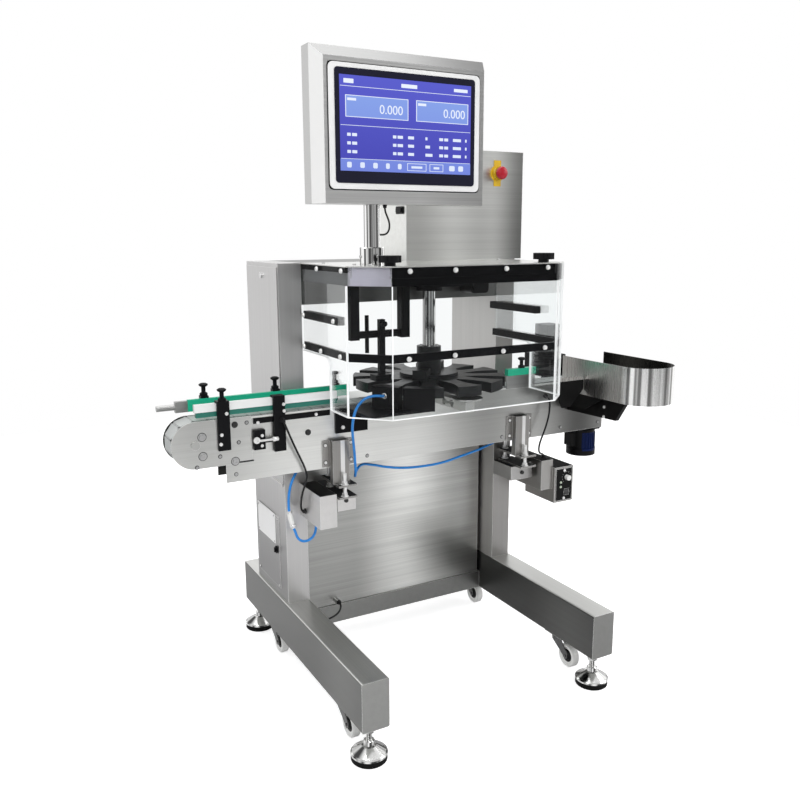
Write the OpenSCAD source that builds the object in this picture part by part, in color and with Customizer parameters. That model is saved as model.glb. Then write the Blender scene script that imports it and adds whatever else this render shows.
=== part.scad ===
// Star-wheel checkweigher: a stainless stand carries a slat-chain lane, a star wheel with
// its weigh cell, a clear guard hood, a display on a pole and a reject bin. Millimetres, +Z up.
// Sizes below are laid out with X = 0 midway between the base beams, Y = 0 at the beam fronts.

/* [Stand] */
// Width of a base beam
beam_w = 80; // [60:1:110]
// Height of a base beam
beam_h = 140; // [100:1:160]
// Length of a base beam
beam_l = 930; // [900:5:1100]
// Clear distance between the two base beams
beam_gap = 692; // [660:2:760]
// Height of the beam undersides above the floor
beam_z = 117; // [110:1:130]
// Edge radius of the base beams
beam_r = 5; // [2:1:10]
// Front of the cross beam
cross_y = 606; // [590:1:640]
// Depth of the cross beam
cross_d = 150; // [80:5:180]
// Height of the cross beam
cross_h = 62; // [40:1:80]
// Thickness of the sheet that boxes are folded from
sheet_t = 2.5; // [1.5:0.5:4]

/* [Feet and casters] */
// Floor level in the layout
floor_z = 10; // [0:1:20]
// Distance of the front foot studs from the beam fronts
foot_inset = 43; // [35:1:70]
// Distance of the rear foot studs from the beam ends
rear_inset = 20; // [18:1:60]
// Radius of a foot pad
foot_r = 50; // [35:1:60]
// Radius of a foot stud
stud_r = 8; // [6:0.5:10]
// Depth that a stud reaches into the beam
stud_in = 60; // [45:1:80]
// Clearance round a stud
stud_gap = 0.3; // [0.2:0.1:0.5]
// Place of the front caster swivels along the beam
caster_front = 195; // [170:1:220]
// Place of the rear caster swivels along the beam
caster_rear = 735; // [700:1:745]
// Radius of a caster wheel
wheel_r = 37.5; // [30:0.5:40]
// Width of a caster wheel
wheel_w = 25; // [20:1:30]
// Height of the caster wheels off the floor
wheel_lift = 6.5; // [2:0.5:8]
// Distance that a wheel trails its swivel
caster_trail = 45; // [20:1:50]
// Radius of a caster axle
axle_r = 4; // [3:0.5:6]
// Clearance of a turning fit
run_gap = 0.05; // [0.02:0.01:0.1]
// Clearance between faces that slide past each other
slip_gap = 0.3; // [0.2:0.1:0.6]

/* [Towers and cabinets] */
// Width of a tower
tower_w = 70; // [60:1:80]
// Depth of a tower
tower_d = 274; // [200:2:320]
// Front of the towers
tower_y = 531; // [520:1:560]
// Top of the towers
tower_top = 1300; // [1280:5:1400]
// Height of the bridge box between the towers
bridge_h = 121; // [80:1:160]
// Top of the centre cabinet
deck_z = 850; // [780:5:860]
// Front of the centre cabinet
deck_y = 612; // [608:1:640]
// Depth of the centre cabinet
deck_d = 190; // [120:5:190]
// Gap between the centre cabinet and each tower
deck_gap = 7; // [3:1:15]
// Width of the upper cabinet
upper_w = 434; // [360:1:440]
// Depth of the upper cabinet
upper_d = 170; // [100:1:200]
// Height of the upper cabinet
upper_h = 337; // [280:1:400]
// Right side of the upper cabinet
upper_x1 = 428; // [400:1:430]
// Front of the upper cabinet
upper_y = 512; // [500:1:531]
// Lower edge of the left tower's cover
cover_z = 640; // [600:5:800]
// Lip of tower wall that the cover lies on
cover_lip = 22; // [15:1:30]
// Lip above the opening, which the lock's cam hooks behind
top_lip = 9; // [8:1:14]
// Radius of the cover's hinge barrel
barrel_r = 4; // [3:0.5:6]
// Radius of the cover lock
lock_r = 9; // [7:0.5:12]

/* [Conveyor] */
// Front face of the conveyor's front plate
plate_y = 438; // [436:1:442]
// Thickness of the side plates
plate_t = 3; // [2:0.5:4]
// Left end of the side plates
plate_x0 = -620; // [-660:5:-560]
// Right end of the side plates
plate_x1 = 747; // [735:1:780]
// Lower edge of the side plates
plate_z0 = 704; // [690:1:715]
// Upper edge of the side plates
plate_z1 = 880; // [870:1:882]
// Width of a chain slat
slat_w = 76; // [70:1:78]
// Thickness of a chain slat
slat_t = 4; // [3:0.5:5]
// Gap between a slat and the side plate
slat_gap = 3; // [2:0.5:5]
// Pitch of the slat chain
pitch = 38.1; // [38:0.1:38.2]
// Links round one chain wheel
wheel_links = 10; // [9:1:10]
// Links along one run of the chain
run_links = 36; // [34:1:36]
// Place of the tail wheel
tail_x = -703; // [-710:1:-690]
// Height of both chain wheels
chain_z = 822; // [818:1:826]
// Radius of a hinge barrel on the chain
hinge_r = 4; // [3.4:0.2:4.2]
// Radius of the chain wheel shafts
shaft_r = 12.5; // [10:0.5:15]
// Right end of the head plates
head_x1 = -545; // [-580:1:-500]
// Half height of the head plates
head_r = 66; // [60:1:70]
// Radius of the spacer bars between the plates
spacer_r = 10; // [6:1:12]

/* [Guide rails] */
// Height of the rail tops above the lane plates
rail_rise = 52; // [45:1:65]
// Height of a rail
rail_h = 22; // [16:1:26]
// Thickness of a rail
rail_t = 12; // [8:1:14]
// Left end of the rails
rail_x0 = -700; // [-720:5:-680]
// Right end of the front rail
front_rail_x1 = -280; // [-320:5:-270]
// Right end of the rear rail
rear_rail_x1 = -209; // [-240:1:-200]
// Length of the rod past the rear rail
rail_rod = 84; // [60:1:100]
// Height of a green wear strip
strip_h = 14; // [10:1:16]
// Width of a rail bracket
bracket_w = 34; // [20:1:40]
// Width of a rear rail bracket
rear_bracket_w = 22; // [16:1:24]
// Thickness of a rail bracket
bracket_t = 4.5; // [3:0.5:4.5]

/* [Supports] */
// Height of the support arm tops
arm_z = 614; // [600:1:620]
// Height of a support arm
arm_h = 47; // [40:1:60]
// Front of the support arms
arm_y = 428; // [420:1:440]
// Space between the two levelling plates
level_gap = 30; // [20:1:36]
// Thickness of a levelling plate
level_t = 6; // [4:0.5:8]
// Width of the web of a hat bracket
hat_w = 54; // [30:1:58]
// Depth of a hat bracket
hat_d = 22; // [16:1:26]
// Width of one flange of a hat bracket
hat_flange = 25; // [16:1:26]

/* [Guard hood] */
// Front of the guard
guard_y = 134; // [120:1:150]
// Lower edge of the guard
guard_z = 900; // [895:1:905]
// Thickness of the clear panels
panel_t = 6; // [4:1:8]
// Thickness of the black bars
bar_t = 8; // [5:1:10]
// Height of the mid bar
mid_h = 22; // [16:1:28]
// Lower edge of the mid bar
mid_z = 1050; // [1040:1:1100]
// Thickness of the roof plate
roof_t = 3; // [2:0.5:4]
// Radius of a roof hand knob
knob_r = 30; // [20:1:36]

/* [Star wheel] */
// Star wheel axis along the lane
star_x = 57; // [20:1:80]
// Outer radius of the star wheel
star_r = 239; // [220:1:245]
// Thickness of the star wheel
star_t = 30; // [20:1:32]
// Underside of the star wheel
star_z = 916; // [912:1:925]
// Number of pockets
pockets = 12; // [8:1:14]
// Widest half width of a pocket
pocket_w = 26; // [18:1:30]
// Half length of a pocket
pocket_l = 85; // [70:1:90]
// Radius at which a pocket is widest
pocket_at = 200; // [190:1:210]
// Radius of the chrome shaft
star_shaft_r = 20; // [16:0.5:24]
// Radius of the hub
hub_r = 38; // [34:1:44]
// Height of the hub above the wheel
hub_h = 92; // [70:1:110]

/* [Display] */
// Place of the pole along X
pole_x = -236; // [-250:1:-220]
// Place of the pole along Y
pole_y = 290; // [270:1:310]
// Radius of the pole
pole_r = 22; // [18:0.5:26]
// Height of the pole
pole_h = 157; // [120:1:180]
// Left edge of the display housing
screen_x0 = -414; // [-430:1:-400]
// Width of the display housing
screen_w = 517; // [480:1:540]
// Height of the display housing
screen_h = 385; // [360:1:410]
// Front of the display housing
screen_y = 235; // [225:1:240]
// Depth of the display housing
screen_d = 84; // [80:1:90]
// Depth of the bevel round the display
bevel_d = 40; // [20:1:44]
// Width of the bevel
bevel_w = 21; // [15:1:30]
// Height of the bevel along the top
bevel_top = 32; // [20:1:40]
// Width of the glass front
glass_w = 447; // [400:1:450]
// Height of the glass front
glass_h = 303; // [260:1:310]
// Distance of the glass from the housing's left edge
glass_left = 33; // [30:1:40]
// Distance of the glass from the housing's lower edge
glass_low = 36; // [30:1:44]

/* [Reject unit] */
// Middle of the pusher along X
pusher_x = 610; // [590:1:630]
// Travel of the pusher
pusher_run = 78; // [60:1:80]
// Left wall of the bin
bin_x0 = 560; // [545:1:570]
// Width of the bin
bin_w = 184; // [170:2:220]
// Front of the bin
bin_y = 64; // [40:1:90]
// Rim of the bin
bin_z1 = 975; // [950:1:990]
// Height of the bin
bin_h = 117; // [100:1:130]
// Thickness of the bin's sheet
bin_t = 2; // [1.5:0.5:3]

/* [Hidden] */
$fn = 48;
weld = 0.5;
half_gap = beam_gap / 2;
beam_z1 = beam_z + beam_h;
tower_in = half_gap + 1;
tower_out = tower_in + tower_w;
tower_y1 = tower_y + tower_d;
bridge_z = tower_top - bridge_h;
beam_mid = half_gap + beam_w / 2;
plate_y1 = plate_y + 2 * plate_t + slat_w + 2 * slat_gap;
lane_y = (plate_y + plate_y1) / 2;
pitch_r = pitch / 2 / sin(180 / wheel_links);
drive_x = tail_x + run_links * pitch;
slat_rise = 0.4;
slat_z = chain_z + pitch_r + slat_t + slat_rise;
slat_under = slat_z - slat_t;
return_under = 2 * chain_z - slat_z;
roof_z = tower_top - roof_t;
star_top = star_z + star_t;
hub_z = star_top + hub_h;
rail_z = plate_z1 + rail_rise;
rail_front_y = plate_y + plate_t;
rail_rear_y = plate_y1 - plate_t - rail_t;
level_z0 = arm_z + level_t;
level_z1 = level_z0 + level_gap;
screen_z0 = tower_top + pole_h + slip_gap;
bin_x1 = bin_x0 + bin_w;
bin_z0 = bin_z1 - bin_h;
bin_r = bin_w / 2;
left_tip = rail_x0 - rail_rod;
frame_x = (left_tip + max(bin_x1, plate_x1)) / 2;
frame_y = (foot_inset + beam_l - rear_inset) / 2;
lock_z = tower_top - 38;
lock_y = tower_y + 133;
left_arm_x = -291;
left_arm_w = 60;
right_arm_w = 86;
arm_x = [[left_arm_x, left_arm_x + left_arm_w], [tower_in, tower_in + right_arm_w]];
hat_x = [-281, tower_in + 34];
foot_y = [foot_inset, beam_l - rear_inset];
caster_y = [caster_front, caster_rear];

// Plan of the guard's outer faces, from the left tower round to the right one
guard_plan = [[-tower_in, tower_y], [-tower_in, guard_y + 92], [-tower_in + 89, guard_y],
    [tower_in - 66, guard_y], [tower_in, guard_y + 60], [tower_in, tower_y]];

// Cord sizes, and routes with their points in order from one end to the other
hose_r = 4;
cable_r = 3;
screen_cable_r = 2.5;
air_tube_route = [[-178.4, 333.7, 926], [-185.2, 329.4, 926], [-198, 323.5, 928.5], [-214, 320.5, 931],
    [-231, 321, 930.5], [-247, 323.5, 925], [-260, 328, 913], [-269, 334, 896], [-274, 341, 872],
    [-273, 352, 846], [-267, 365, 818], [-258, 379, 785], [-249, 392, 750], [-243, 402, 720],
    [-237, 412, 693], [-232.5, 424, 674], [-226, 440, 666], [-217, 455, 669], [-203, 467, 680],
    [-184, 474.5, 687], [-150, 476, 681], [-99, 475, 667], [-40, 475, 656], [33, 475, 651],
    [103, 475, 653], [173, 475, 664], [239, 476, 676], [270, 477, 683], [300, 480.3, 690],
    [318, 483.8, 694.5], [331.5, 489.3, 698.5], [338.3, 494.6, 702], [343.6, 501.4, 705.6],
    [346.9, 509.4, 708.6], [348, 517.9, 710], [348, 522.9, 710]];
air_loop_route = [[-366, 522.9, 722], [-366, 516, 722], [-368, 506, 720.5], [-374, 495, 716],
    [-385, 484, 708], [-398, 475, 697], [-411, 468.5, 683], [-421, 464.5, 666], [-428, 462, 647],
    [-432, 460.5, 625], [-433.5, 459.5, 602], [-432, 459, 578], [-428, 458.5, 556], [-422, 458.5, 534],
    [-414.5, 459, 514.5], [-408.5, 459.5, 497.5], [-397.3, 460, 485.4], [-381.5, 460.5, 481],
    [-365.5, 461, 485.4], [-353.5, 461.5, 497.5], [-348.5, 462, 514], [-347, 462, 527],
    [-346.5, 462, 535], [-346.5, 462, 540.9]];
sensor_route = [[-457, 425.9, 868], [-457, 421, 868], [-456.8, 415.5, 866], [-455.8, 411.5, 861],
    [-453, 410, 852], [-447, 411.5, 838], [-439, 414, 819], [-430, 416.5, 799], [-420.5, 418.5, 778],
    [-410, 420, 755], [-399, 421.5, 731], [-391, 424, 710], [-386.5, 429, 692], [-385, 438, 675],
    [-385, 449, 658], [-385.5, 460, 641], [-386, 470, 623], [-386, 478, 606], [-385.5, 483, 590],
    [-384, 485.5, 576.5], [-380.5, 486, 568], [-375.6, 486, 565.5], [-370.1, 486, 565.5]];
drive_route = [[489, 437.9, 842], [489, 431.5, 842], [488.8, 424.5, 840.5], [488.3, 418, 836.5],
    [487.5, 412.8, 829.5], [486.5, 409.5, 820], [485, 407.5, 806], [481.5, 405.5, 786], [475, 404, 764],
    [466.5, 403, 742], [457, 403, 720], [449, 404, 700], [445, 406, 682], [446, 409, 668],
    [451, 413, 657.5], [459, 417.5, 650.5], [468, 421.5, 646.5], [475, 424.3, 643], [479, 425.8, 638.5],
    [480, 426, 634], [480, 426, 630.1]];
screen_route = [[-196, 290, 1457.2], [-196, 290, 1450], [-194.5, 290, 1440], [-190.5, 290, 1430],
    [-186, 290, 1420], [-183, 290, 1410], [-182.5, 290, 1400], [-184.5, 290, 1391], [-189, 290, 1384],
    [-195, 290, 1380.5], [-200, 290, 1379.3], [-204, 290, 1379], [-207.5, 290, 1379], [-210.5, 290, 1379],
    [-213.9, 290, 1379]];
gland_route = [[-222, 587.9, 195], [-222, 581, 195], [-222.5, 574, 193.5], [-224.5, 567, 189],
    [-229, 561, 183.5], [-236, 556, 178], [-245, 551.5, 174], [-256, 547.5, 171.5], [-268, 543.5, 170.5],
    [-281, 539, 170.5], [-294, 534.5, 172], [-306, 530, 174.5], [-317, 526, 178], [-326, 523.5, 181.5],
    [-333, 522.2, 183.4], [-339, 522, 184], [-345.9, 522, 184]];

// Moves the layout so that the middle of the part's floor area is the origin
module in_frame() {
    translate([-frame_x, -frame_y, -floor_z])
        children();
}

// Box from one corner to the opposite one
module block(a, b) {
    translate(a)
        cube(b - a);
}

// Closed box folded from sheet
module folded_box(a, b, t) {
    difference() {
        block(a, b);
        block(a + [t, t, t], b - [t, t, t]);
    }
}

module rounded_rect(w, h, r) {
    square([w - 2 * r, h], center = true);
    square([w, h - 2 * r], center = true);
    for (x = [-1, 1], y = [-1, 1])
        translate([x * (w / 2 - r), y * (h / 2 - r)])
            circle(r);
}

module rod_x(x0, x1, y, z, r) {
    translate([x0, y, z])
        rotate([0, 90, 0])
            cylinder(h = x1 - x0, r = r);
}

module rod_y(x, y0, y1, z, r) {
    translate([x, y0, z])
        rotate([-90, 0, 0])
            cylinder(h = y1 - y0, r = r);
}

module rod_z(x, y, z0, z1, r) {
    translate([x, y, z0])
        cylinder(h = z1 - z0, r = r);
}

// Upright plate: an outline of (y, z) points, t thick along X
module plate_yz(x, t, points) {
    translate([x, 0, 0])
        rotate([90, 0, 90])
            linear_extrude(t)
                polygon(points);
}

function unit(v) = v / norm(v);
function left_of(v) = [-v[1], v[0]];
function leg(p, i) = unit(p[i + 1] - p[i]);

// Points of an open path moved sideways by d, to the left of its run
function shifted(p, d) = [for (i = [0:len(p) - 1])
    let (a = leg(p, max(i - 1, 0)), b = leg(p, min(i, len(p) - 2)))
        p[i] + d * (left_of(a) + left_of(b)) / (1 + a * b)];
function reversed(p) = [for (i = [len(p) - 1:-1:0]) p[i]];

// Wall that follows the guard's plan, between two depths behind its outer faces
module guard_wall(d0, d1, z0, z1) {
    translate([0, 0, z0])
        linear_extrude(z1 - z0)
            polygon(concat(shifted(guard_plan, d0), reversed(shifted(guard_plan, d1))));
}

// Tube swept along a route of points
function heading(p, i) = unit(p[min(i + 1, len(p) - 1)] - p[max(i - 1, 0)]);
function ring(c, t, side, r, n) =
    let (u = unit(cross(side, t)), v = cross(t, u))
        [for (k = [0:n - 1]) c + r * (cos(360 * k / n) * u + sin(360 * k / n) * v)];
module tube(route, r, side, n = 8) {
    last = len(route) - 1;
    points = [for (i = [0:last]) each ring(route[i], heading(route, i), side, r, n)];
    walls = [for (i = [0:last - 1], k = [0:n - 1])
        let (a = i * n + k, b = i * n + (k + 1) % n)
            each [[a, b, a + n], [b, b + n, a + n]]];
    ends = [[for (k = [n - 1:-1:0]) k], [for (k = [0:n - 1]) last * n + k]];
    polyhedron(points, concat(walls, ends));
}

// Stand

module beam(x) {
    translate([x, beam_l, beam_z + beam_h / 2])
        rotate([90, 0, 0])
            difference() {
                linear_extrude(beam_l)
                    rounded_rect(beam_w, beam_h, beam_r);
                translate([0, 0, sheet_t])
                    linear_extrude(beam_l - 2 * sheet_t)
                        rounded_rect(beam_w - 2 * sheet_t, beam_h - 2 * sheet_t, beam_r - 1);
            }
}

caster_plate_t = 6;
nut_h = 13;
nut_r = 15;
kingpin_r = 6;
module base_frame() {
    color("silver")
        in_frame()
            difference() {
                union() {
                    for (s = [-1, 1]) {
                        beam(s * beam_mid);
                        for (y = foot_y)
                            rod_z(s * beam_mid, y, beam_z - nut_h, beam_z + stud_in + sheet_t, nut_r);
                        for (y = caster_y) {
                            block([s * beam_mid - 32, y - 40, beam_z - caster_plate_t],
                                [s * beam_mid + 32, y + 40, beam_z + weld]);
                            rod_z(s * beam_mid, y, beam_z, beam_z + 20, nut_r);
                        }
                    }
                    folded_box([-half_gap - weld, cross_y, beam_z],
                        [half_gap + weld, cross_y + cross_d, beam_z + cross_h], sheet_t);
                }
                for (s = [-1, 1]) {
                    for (y = foot_y)
                        rod_z(s * beam_mid, y, beam_z - nut_h - 1, beam_z + stud_in, stud_r + stud_gap);
                    for (y = caster_y)
                        rod_z(s * beam_mid, y, beam_z - caster_plate_t - 1, beam_z + 15, kingpin_r + run_gap);
                }
            }
}

cover_x = -tower_out - slip_gap - sheet_t;
cover_z1 = tower_top - 12;
cover_y0 = tower_y + 6;
cover_y1 = tower_y1 - 6;
hinge_x = -tower_out - slip_gap - barrel_r;
pin_r = 2;
access_t = 2;
access_y = 60;
access_z = 28;
access_h = 235;
module tower_left() {
    color("gainsboro")
        in_frame() {
            difference() {
                folded_box([-tower_out, tower_y, beam_z1], [-tower_in, tower_y1, tower_top], sheet_t);
                block([-tower_out - 1, cover_y0 + cover_lip, cover_z + cover_lip],
                    [-tower_out + sheet_t + 1, cover_y1 - cover_lip, cover_z1 - top_lip]);
            }
            for (y = [cover_y0 - 4.5, cover_y1 + 0.5]) {
                block([hinge_x - barrel_r, y, cover_z - barrel_r],
                    [-tower_out + weld, y + 4, cover_z + barrel_r]);
            }
            rod_y(hinge_x, cover_y0 - 1, cover_y0 + 12, cover_z, pin_r);
            rod_y(hinge_x, cover_y1 - 12, cover_y1 + 1, cover_z, pin_r);
            block([-tower_out - access_t, tower_y + access_y, beam_z1 + access_z],
                [-tower_out + weld, tower_y1 - 18, beam_z1 + access_z + access_h]);
        }
}

module tower_cover() {
    color("gainsboro")
        in_frame()
            difference() {
                union() {
                    block([cover_x, cover_y0, cover_z], [cover_x + sheet_t, cover_y1, cover_z1]);
                    rod_y(hinge_x, cover_y0, cover_y1, cover_z, barrel_r);
                }
                rod_y(hinge_x, cover_y0 - 1, cover_y0 + 13, cover_z, pin_r + run_gap);
                rod_y(hinge_x, cover_y1 - 13, cover_y1 + 1, cover_z, pin_r + run_gap);
                rod_x(cover_x - 1, cover_x + sheet_t + 1, lock_y, lock_z, lock_r + run_gap);
            }
}

lock_proud = 4;
cam_l = 22;
cam_t = 3;
cam_x = cover_x + sheet_t + 10;
module cover_lock() {
    color("silver")
        in_frame() {
            difference() {
                rod_x(cover_x - lock_proud, cam_x + cam_t, lock_y, lock_z, lock_r);
                block([cover_x - lock_proud - 1, lock_y - 1, lock_z - 6],
                    [cover_x - lock_proud + 2, lock_y + 1, lock_z + 6]);
            }
            block([cam_x, lock_y - 7, lock_z - 7], [cam_x + cam_t, lock_y + cam_l, lock_z + 7]);
        }
}

module tower_right() {
    color("gainsboro")
        in_frame()
            folded_box([tower_in, tower_y, beam_z1], [tower_out, tower_y1, tower_top], sheet_t);
}

module bridge_box() {
    color("gainsboro")
        in_frame()
            folded_box([-tower_in, tower_y, bridge_z], [tower_in, tower_y1, tower_top], sheet_t);
}

door_t = 4;
gland_x = -222;
gland_z = 195;
gland_l = 20;
gland_r = 8;
module centre_cabinet() {
    color("silver")
        in_frame() {
            folded_box([-tower_in + deck_gap, deck_y, beam_z + cross_h],
                [tower_in - deck_gap, deck_y + deck_d, deck_z], sheet_t);
            block([-tower_in + deck_gap + door_t, deck_y - door_t, beam_z + cross_h + door_t],
                [tower_in - deck_gap - door_t, deck_y, deck_z - door_t]);
            rod_y(gland_x, deck_y - door_t - gland_l, deck_y - door_t + weld, gland_z, gland_r);
        }
}

module upper_cabinet() {
    color("gainsboro")
        in_frame()
            folded_box([upper_x1 - upper_w, upper_y, tower_top],
                [upper_x1, upper_y + upper_d, tower_top + upper_h], sheet_t);
}

// Levelling foot: a coned chrome foot on a stud, with a rubber sole
sole_h = 18;
cone_h = 46;
module foot(s, y) {
    color("silver")
        in_frame()
            translate([s * beam_mid, y, floor_z]) {
                rotate_extrude()
                    polygon([[0, 0], [foot_r - 4, 0], [foot_r - 1, 3], [foot_r - 1, sole_h], [foot_r, sole_h],
                        [foot_r, sole_h + 5], [foot_r - 4, sole_h + 8], [stud_r + 12, cone_h - 4],
                        [stud_r + 7, cone_h - 2], [stud_r + 7, cone_h + 10], [stud_r + 5, cone_h + 12],
                        [0, cone_h + 12]]);
                cylinder(h = beam_z - floor_z + stud_in - 4, r = stud_r);
                translate([0, 0, beam_z - floor_z - nut_h - 14])
                    cylinder(h = 12, r = nut_r, $fn = 6);
            }
}
module foot_fl() { foot(-1, foot_y[0]); }
module foot_fr() { foot(1, foot_y[0]); }
module foot_rl() { foot(-1, foot_y[1]); }
module foot_rr() { foot(1, foot_y[1]); }

// Swivel caster: a pressed fork with its kingpin and axle, and a wheel
wheel_z = floor_z + wheel_r + wheel_lift;
crown_z = wheel_z + wheel_r + 4;
swivel_top = beam_z - caster_plate_t - slip_gap;
leg_t = 3;
eye_r = 10;
module caster_fork(s, y) {
    color("silver")
        in_frame()
            translate([s * beam_mid, y, 0]) {
                for (x = [-wheel_w / 2 - 1 - leg_t, wheel_w / 2 + 1]) {
                    plate_yz(x, leg_t, [[-22, crown_z + leg_t], [22, crown_z + leg_t], [20, crown_z - 8],
                        [eye_r - caster_trail, wheel_z - 2], [-caster_trail - eye_r, wheel_z - 2],
                        [-caster_trail - eye_r, wheel_z + 8]]);
                    rod_x(x, x + leg_t, -caster_trail, wheel_z, eye_r);
                }
                block([-wheel_w / 2 - 1 - leg_t, -22, crown_z],
                    [wheel_w / 2 + 1 + leg_t, 22, crown_z + leg_t]);
                rod_z(0, 0, crown_z + leg_t - weld, swivel_top, 26);
                rod_z(0, 0, swivel_top - weld, beam_z + 14, kingpin_r);
                rod_x(-wheel_w / 2 - 6, wheel_w / 2 + 6, -caster_trail, wheel_z, axle_r);
            }
}
module caster_fork_fl() { caster_fork(-1, caster_y[0]); }
module caster_fork_fr() { caster_fork(1, caster_y[0]); }
module caster_fork_rl() { caster_fork(-1, caster_y[1]); }
module caster_fork_rr() { caster_fork(1, caster_y[1]); }

module caster_wheel(s, y) {
    color("whitesmoke")
        in_frame()
            translate([s * beam_mid, y - caster_trail, wheel_z])
                rotate([0, 90, 0])
                    rotate_extrude()
                        polygon([[axle_r + run_gap, -wheel_w / 2 + slip_gap], [14, -wheel_w / 2 + slip_gap],
                            [16, -wheel_w / 2 + 4], [wheel_r - 11, -wheel_w / 2 + 4],
                            [wheel_r - 9, -wheel_w / 2 + slip_gap], [wheel_r - 3, -wheel_w / 2 + slip_gap],
                            [wheel_r, -wheel_w / 2 + 4], [wheel_r, wheel_w / 2 - 4],
                            [wheel_r - 3, wheel_w / 2 - slip_gap], [wheel_r - 9, wheel_w / 2 - slip_gap],
                            [wheel_r - 11, wheel_w / 2 - 4], [16, wheel_w / 2 - 4],
                            [14, wheel_w / 2 - slip_gap], [axle_r + run_gap, wheel_w / 2 - slip_gap]]);
}
module caster_wheel_fl() { caster_wheel(-1, caster_y[0]); }
module caster_wheel_fr() { caster_wheel(1, caster_y[0]); }
module caster_wheel_rl() { caster_wheel(-1, caster_y[1]); }
module caster_wheel_rr() { caster_wheel(1, caster_y[1]); }

// Conveyor

spacer_x = [plate_x0 + 80, -280, 20, 300, drive_x - 110];
module side_plate(y) {
    difference() {
        block([plate_x0, y, plate_z0], [plate_x1, y + plate_t, plate_z1]);
        rod_y(drive_x, y - 1, y + plate_t + 1, chain_z, shaft_r + run_gap);
    }
}

module head_plate(y) {
    difference() {
        union() {
            block([tail_x, y, chain_z - head_r], [head_x1, y + plate_t, chain_z + head_r]);
            rod_y(tail_x, y, y + plate_t, chain_z, head_r);
        }
        rod_y(tail_x, y - 1, y + plate_t + 1, chain_z, shaft_r + run_gap);
    }
}

module conveyor_frame() {
    color("silver")
        in_frame() {
            side_plate(plate_y);
            side_plate(plate_y1 - plate_t);
            head_plate(plate_y - plate_t);
            head_plate(plate_y1);
            for (x = spacer_x)
                rod_y(x, plate_y + plate_t - weld, plate_y1 - plate_t + weld, chain_z, spacer_r);
        }
}

strip_w = 10;
module wear_strips() {
    color("white")
        in_frame()
            for (y = [plate_y + plate_t, plate_y1 - plate_t - strip_w]) {
                block([tail_x + pitch, y, slat_under - 16], [drive_x - pitch, y + strip_w, slat_under]);
                block([tail_x + 110, y, return_under - 10], [drive_x - 60, y + strip_w, return_under]);
            }
}

// One chain link: a slat on its hinge barrel, pins lie half a pitch each side of its middle
link_gap = 0.6;
hinge_w = slat_w - 2 * (strip_w - slat_gap) - 2;
module link() {
    rotate([90, 0, 0]) {
        linear_extrude(slat_w, center = true)
            translate([-pitch / 2 + link_gap, slat_rise])
                square([pitch - 2 * link_gap, slat_t]);
        translate([-pitch / 2, 0, 0])
            cylinder(h = hinge_w, r = hinge_r, center = true);
    }
}

module slat_chain() {
    color("whitesmoke")
        in_frame()
            translate([0, lane_y, chain_z]) {
                for (i = [0:run_links - 1]) {
                    translate([tail_x + (i + 0.5) * pitch, 0, pitch_r])
                        link();
                    translate([tail_x + (i + 0.5) * pitch, 0, -pitch_r])
                        rotate([0, 180, 0])
                            link();
                }
                for (k = [0:wheel_links / 2 - 1]) {
                    a = (k + 0.5) * 360 / wheel_links;
                    translate([drive_x, 0, 0])
                        rotate([0, a, 0])
                            translate([0, 0, pitch_r * cos(180 / wheel_links)])
                                link();
                    translate([tail_x, 0, 0])
                        rotate([0, a + 180, 0])
                            translate([0, 0, pitch_r * cos(180 / wheel_links)])
                                link();
                }
            }
}

chain_wheel_r = pitch_r - hinge_r - 1;
chain_wheel_w = 34;
module drive_sprocket() {
    color("dimgray")
        in_frame()
            translate([drive_x, lane_y, chain_z])
                rotate([90, 0, 0]) {
                    linear_extrude(chain_wheel_w, center = true)
                        difference() {
                            circle(chain_wheel_r);
                            for (k = [0:wheel_links - 1])
                                rotate(k * 360 / wheel_links)
                                    translate([chain_wheel_r + 2, 0])
                                        circle(7);
                        }
                    cylinder(h = plate_y1 - plate_y + 24, r = shaft_r, center = true);
                }
}

module tail_wheel() {
    color("dimgray")
        in_frame()
            translate([tail_x, lane_y, chain_z])
                rotate([90, 0, 0]) {
                    cylinder(h = chain_wheel_w, r = chain_wheel_r, center = true);
                    cylinder(h = plate_y1 - plate_y + 2 * plate_t + 8, r = shaft_r, center = true);
                }
}

motor_x = drive_x + 24;
motor_r = 48;
motor_z0 = plate_z0 - 97;
module gearmotor() {
    color("navy")
        in_frame() {
            block([motor_x - 50, plate_y + plate_t, plate_z0 - 6],
                [motor_x + 50, plate_y1 - plate_t, return_under - 14]);
            rod_z(motor_x, lane_y, motor_z0 + 20, plate_z0 - 6 + weld, motor_r);
            rod_z(motor_x, lane_y, motor_z0, motor_z0 + 24, motor_r + 3);
            block([motor_x - motor_r - 10, lane_y - 22, motor_z0 + 34],
                [motor_x - 30, lane_y + 22, motor_z0 + 84]);
        }
}

// Guide rails

outfeed_l = 114;
outfeed_x = [328, 328 + outfeed_l];
outfeed_rise = 14;
rear_drop = 8;
tip_l = 34;
rail_rod_r = 8;
module guide_rails() {
    color("lightgray")
        in_frame() {
            block([rail_x0, rail_front_y, rail_z - rail_h], [front_rail_x1, rail_front_y + rail_t, rail_z]);
            block([rail_x0, rail_rear_y + rail_t / 2, rail_z - rail_h - rear_drop],
                [rear_rail_x1, rail_rear_y + rail_t, rail_z]);
            block([rail_x0 - tip_l, rail_rear_y - 4, rail_z - rail_h - rear_drop],
                [rail_x0, rail_rear_y + rail_t, rail_z]);
            rod_x(left_tip, rail_x0 - tip_l + weld, rail_rear_y + 4, rail_z - rail_h / 2 - 4, rail_rod_r);
            block([outfeed_x[0], plate_y, plate_z1], [outfeed_x[1], plate_y + plate_t, rail_z - rear_drop]);
        }
}

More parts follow.
